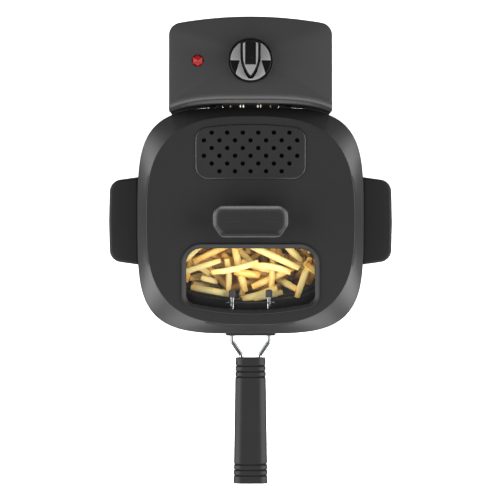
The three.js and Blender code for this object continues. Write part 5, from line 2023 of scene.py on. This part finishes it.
class FRYER_OT_chips(bpy.types.Operator):
    """Potato chips heaped in the basket, seen through the window"""

    bl_idname = "fryer.chips"
    bl_label = "Chips"

    def execute(self, context):
        width = sizes().chip_width
        dropped, random = drop_chips(sizes().chip_count, width, sizes().chip_seed)
        if len(dropped) < CHIP_FEWEST:
            raise RuntimeError("too few chips fit the basket")
        kinds = [(0.0, []), (2.2 * MM, []), (-1.6 * MM, [])]
        for chip in dropped:
            kinds[int(random.integers(len(kinds)))][1].append(chip)
        potato = fried_potato(tuple(colours().potato), tuple(colours().crust))
        parts = []
        for bend, chips in kinds:
            places = [(x, y + POT_Y, z) for x, y, z, *_ in chips]
            rolls = (0, math.pi / 2, math.pi)
            turns = [(random.choice(rolls), lean, angle) for *_, angle, lean, _ in chips]
            scales = [(length, *random.uniform(0.86, 1.06, 2)) for *_, length in chips]
            tones = random.uniform(0, 1, len(chips)) ** 1.6
            template = chip_template(width, bend)
            parts.append(
                placed(f"chips_{len(parts)}", template, places, turns, potato, scales, tone=tones)
            )
        heap = joined("potato_chips", parts)
        finish_piece(heap, "basket", potato, None, angle=math.radians(48))
        return {"FINISHED"}


# ---- Feet, screws and the rest ----------------------------------------------------------------


class FRYER_OT_feet(bpy.types.Operator):
    """Rubber feet with a ringed sole"""

    bl_idname = "fryer.feet"
    bl_label = "Feet"

    def execute(self, context):
        places, nodes = [], []
        for end in ("front", "rear"):
            for side in ("left", "right"):
                node = f"foot_{end}_{side}"
                at = middle(node)
                places.append((at.x, at.y, 0))
                nodes.append(node)
        first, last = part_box(nodes[0])
        radius, top = (last.x - first.x) / 2, last.z
        seat, stem = 7.7 * MM, 3 * MM
        profile = [(0, 0.6 * MM), (2 * MM, 0.6 * MM), (2.4 * MM, 0)]
        for k in range(3):
            r = (4 + 2.4 * k) * MM
            profile += [(r, 0), (r + 0.3 * MM, 0.6 * MM), (r + 1 * MM, 0.6 * MM), (r + 1.3 * MM, 0)]
        profile += [(radius - 0.7 * MM, 0), (radius - 0.15 * MM, 0.5 * MM), (radius, 1.4 * MM)]
        profile += [(radius, seat - 0.5 * MM), (radius - 0.5 * MM, seat)]
        profile += [(stem, seat), (stem, top), (0, top)]
        template = turned("foot", profile, count=40)
        made = placed("rubber_feet", template, places, [(0, 0, 0)] * len(places), rubber())
        finish_piece(made, "base", rubber(), "rubber", *nodes)
        return {"FINISHED"}


class FRYER_OT_screws(bpy.types.Operator):
    """Pan-head screws with a cross recess, one set for each body"""

    bl_idname = "fryer.screws"
    bl_label = "Screws"

    HEAD = 3.8 * MM
    RISE = 2 * MM

    def template(self, length):
        """A screw that points up, its head bearing on height 0."""
        shank = 2 * MM
        profile = [
            (0, -self.RISE),
            (self.HEAD * 0.55, -self.RISE + 0.1 * MM),
            (self.HEAD * 0.85, -self.RISE * 0.75),
            (self.HEAD, -self.RISE * 0.3),
            (self.HEAD, 0),
            (shank, 0),
            (shank, length - shank),
            (0, length),
        ]
        made = turned("screw", profile, count=24)
        arm, half = 2.3 * MM, 0.45 * MM
        foot = -self.RISE - MM
        slots = [
            box("slot", (-arm, -half, foot), (arm, half, -self.RISE * 0.4)),
            box("slot", (-half, -arm, foot), (half, arm, -self.RISE * 0.4)),
        ]
        return carve(made, *slots)

    def execute(self, context):
        sides = ("left", "right")
        handle_ends = [f"{side}_handle_screw_{end}" for side in sides for end in ("front", "rear")]
        sets = {
            "handle_screws": (handle_ends, "inwards"),
            "dock_screws": ([f"docking_screw_{side}" for side in sides], "forwards"),
            "head_screws": ([f"head_screw_{side}" for side in sides], "upwards"),
            "grip_screws": (["grip_screw_front", "grip_screw_rear"], "upwards"),
            "lid_screws": ([f"lid_handle_screw_{side}" for side in sides], "upwards"),
        }
        for name, (nodes, way) in sets.items():
            places, turns = [], []
            for node in nodes:
                first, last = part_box(node)
                at = (first + last) / 2
                if way == "inwards":
                    side = math.copysign(1, at.x)
                    bearing = abs(last.x if side > 0 else first.x) - self.RISE
                    length = last.x - first.x - self.RISE
                    places.append((side * bearing, at.y, at.z))
                    turns.append((0, -side * math.pi / 2, 0))
                elif way == "forwards":
                    length = last.y - first.y - self.RISE
                    places.append((at.x, last.y - self.RISE, at.z))
                    turns.append((math.pi / 2, 0, 0))
                else:
                    length = last.z - first.z - self.RISE
                    places.append((at.x, at.y, first.z + self.RISE))
                    turns.append((0, 0, 0))
            made = placed(name, self.template(length), places, turns, zinc())
            finish_piece(made, body_of(nodes[0]), zinc(), "screw_steel", *nodes)
        return {"FINISHED"}


class FRYER_OT_inner_parts(bpy.types.Operator):
    """Finishes of the pieces that keep the frame's own shape"""

    bl_idname = "fryer.inner_parts"
    bl_label = "Inner Parts"

    def execute(self, context):
        steel = brushed_steel("Brushed inner steel", "x", 0.55)
        looks = {
            "docking_bracket": heated_steel(),
            "head_base": inner_plastic(),
            # the element panel's steel is darkened to near black: painted shade for the narrow gap
            # between lid and head
            "element_panel": brushed_steel("Dark brushed steel", "x", 0.1),
            "bulb_clip": steel,
            "lid_liner": steel,
            "thermostat": white_plastic(),
            "thermal_cutout": gloss_black(),
            "terminal_block": white_plastic(),
            "safety_switch": gloss_black(),
            "lamp_holder": white_plastic(),
            "cord_gland": rubber(),
            "thermostat_shaft": steel,
            "window_seal": rubber(),
            "filter_tray": inner_plastic(),
            "filter_pad": felt(),
        }
        for node, material in looks.items():
            data = frame["nodes"][node].data
            data.materials.clear()
            data.materials.append(material)
        return {"FINISHED"}


# ---- Stage ------------------------------------------------------------------------------------


class FRYER_OT_stage(bpy.types.Operator):
    """Pale floor, soft light from the front and sides, and a camera straight above"""

    bl_idname = "fryer.stage"
    bl_label = "Stage"

    LIGHTS = (  # name, place, breadth and height, watts
        ("front light", (0.0, -3.2, 1.7), (4.4, 2.4), 270),
        ("left light", (-3.2, -0.1, 1.7), (4.0, 2.4), 345),
        ("right light", (3.2, -0.1, 1.7), (4.0, 2.4), 345),
        ("back light", (0.0, 3.4, 1.6), (3.0, 1.6), 35),
        ("top light", (0.0, -2.3, 3.8), (2.4, 1.6), 14),
    )
    VIEW = 0.550  # the camera's view across at the lid
    SENSOR = 36.0  # in millimetres, as the lens
    FAR = 3.0  # the camera above the lid
    CENTRE = (-0.6 * MM, 1.2 * MM)
    AIM = Vector((0, 0, 0.15))  # where the lights point
    ROOM_LIGHT = 0.08
    FLOOR = 6.0  # half the floor's breadth

    def execute(self, context):
        scene = bpy.context.scene
        scene.view_settings.view_transform = "Standard"
        half = self.FLOOR
        corners = [(-half, -half, 0), (half, -half, 0), (half, half, 0), (-half, half, 0)]
        floor = mesh_object("floor", corners, [(0, 1, 2, 3)])
        floor.data.materials.append(pale_floor())
        floor.visible_glossy = False  # keeps its glare out of the black gloss

        world = bpy.data.worlds.new("Soft room")
        world.use_nodes = True
        ground = world.node_tree.nodes["Background"]
        ground.inputs["Color"].default_value = (1, 1, 1, 1)
        ground.inputs["Strength"].default_value = self.ROOM_LIGHT
        scene.world = world

        for name, place, spread, power in self.LIGHTS:
            data = bpy.data.lights.new(name, "AREA")
            data.shape = "RECTANGLE"
            data.size, data.size_y = spread
            data.energy = power
            light = bpy.data.objects.new(name, data)
            light.location = place
            aim = self.AIM - Vector(place)
            light.rotation_euler = aim.to_track_quat("-Z", "Y").to_euler()
            scene.collection.objects.link(light)

        lens = bpy.data.cameras.new("Camera")
        lens.sensor_width = self.SENSOR
        lens.lens = lens.sensor_width * self.FAR / self.VIEW
        lens.clip_end = 20
        camera = bpy.data.objects.new("Camera", lens)
        camera.location = (*self.CENTRE, LID_TOP + self.FAR)
        scene.collection.objects.link(camera)
        scene.camera = camera
        return {"FINISHED"}


# ---- Panel, registration and the run ----------------------------------------------------------


OPERATORS = (
    FRYER_OT_stage,
    FRYER_OT_lid,
    FRYER_OT_window,
    FRYER_OT_filter,
    FRYER_OT_lid_handle,
    FRYER_OT_head,
    FRYER_OT_knob,
    FRYER_OT_lamp,
    FRYER_OT_housing,
    FRYER_OT_side_handles,
    FRYER_OT_tank,
    FRYER_OT_heater,
    FRYER_OT_basket,
    FRYER_OT_basket_handle,
    FRYER_OT_grip,
    FRYER_OT_chips,
    FRYER_OT_feet,
    FRYER_OT_screws,
    FRYER_OT_inner_parts,
)


class FRYER_PT_build(bpy.types.Panel):
    """Sizes, colours and one button for each group of pieces"""

    bl_idname = "FRYER_PT_build"
    bl_label = "Deep Fryer"
    bl_space_type = "VIEW_3D"
    bl_region_type = "UI"
    bl_category = "Fryer"

    def draw(self, context):
        layout = self.layout
        for group in (context.scene.fryer_sizes, context.scene.fryer_colours):
            column = layout.column(align=True)
            for key in group.__annotations__:
                column.prop(group, key)
        column = layout.column(align=True)
        for operator in OPERATORS:
            column.operator(operator.bl_idname)


CLASSES = (FryerSizes, FryerColours, *OPERATORS, FRYER_PT_build)


def register():
    for one in CLASSES:
        bpy.utils.register_class(one)
    bpy.types.Scene.fryer_sizes = bpy.props.PointerProperty(type=FryerSizes)
    bpy.types.Scene.fryer_colours = bpy.props.PointerProperty(type=FryerColours)


def unregister():
    del bpy.types.Scene.fryer_colours
    del bpy.types.Scene.fryer_sizes
    for one in reversed(CLASSES):
        bpy.utils.unregister_class(one)


def main():
    register()
    for operator in OPERATORS:
        getattr(bpy.ops.fryer, operator.bl_idname.split(".")[1])()


if __name__ == "__main__":
    main()
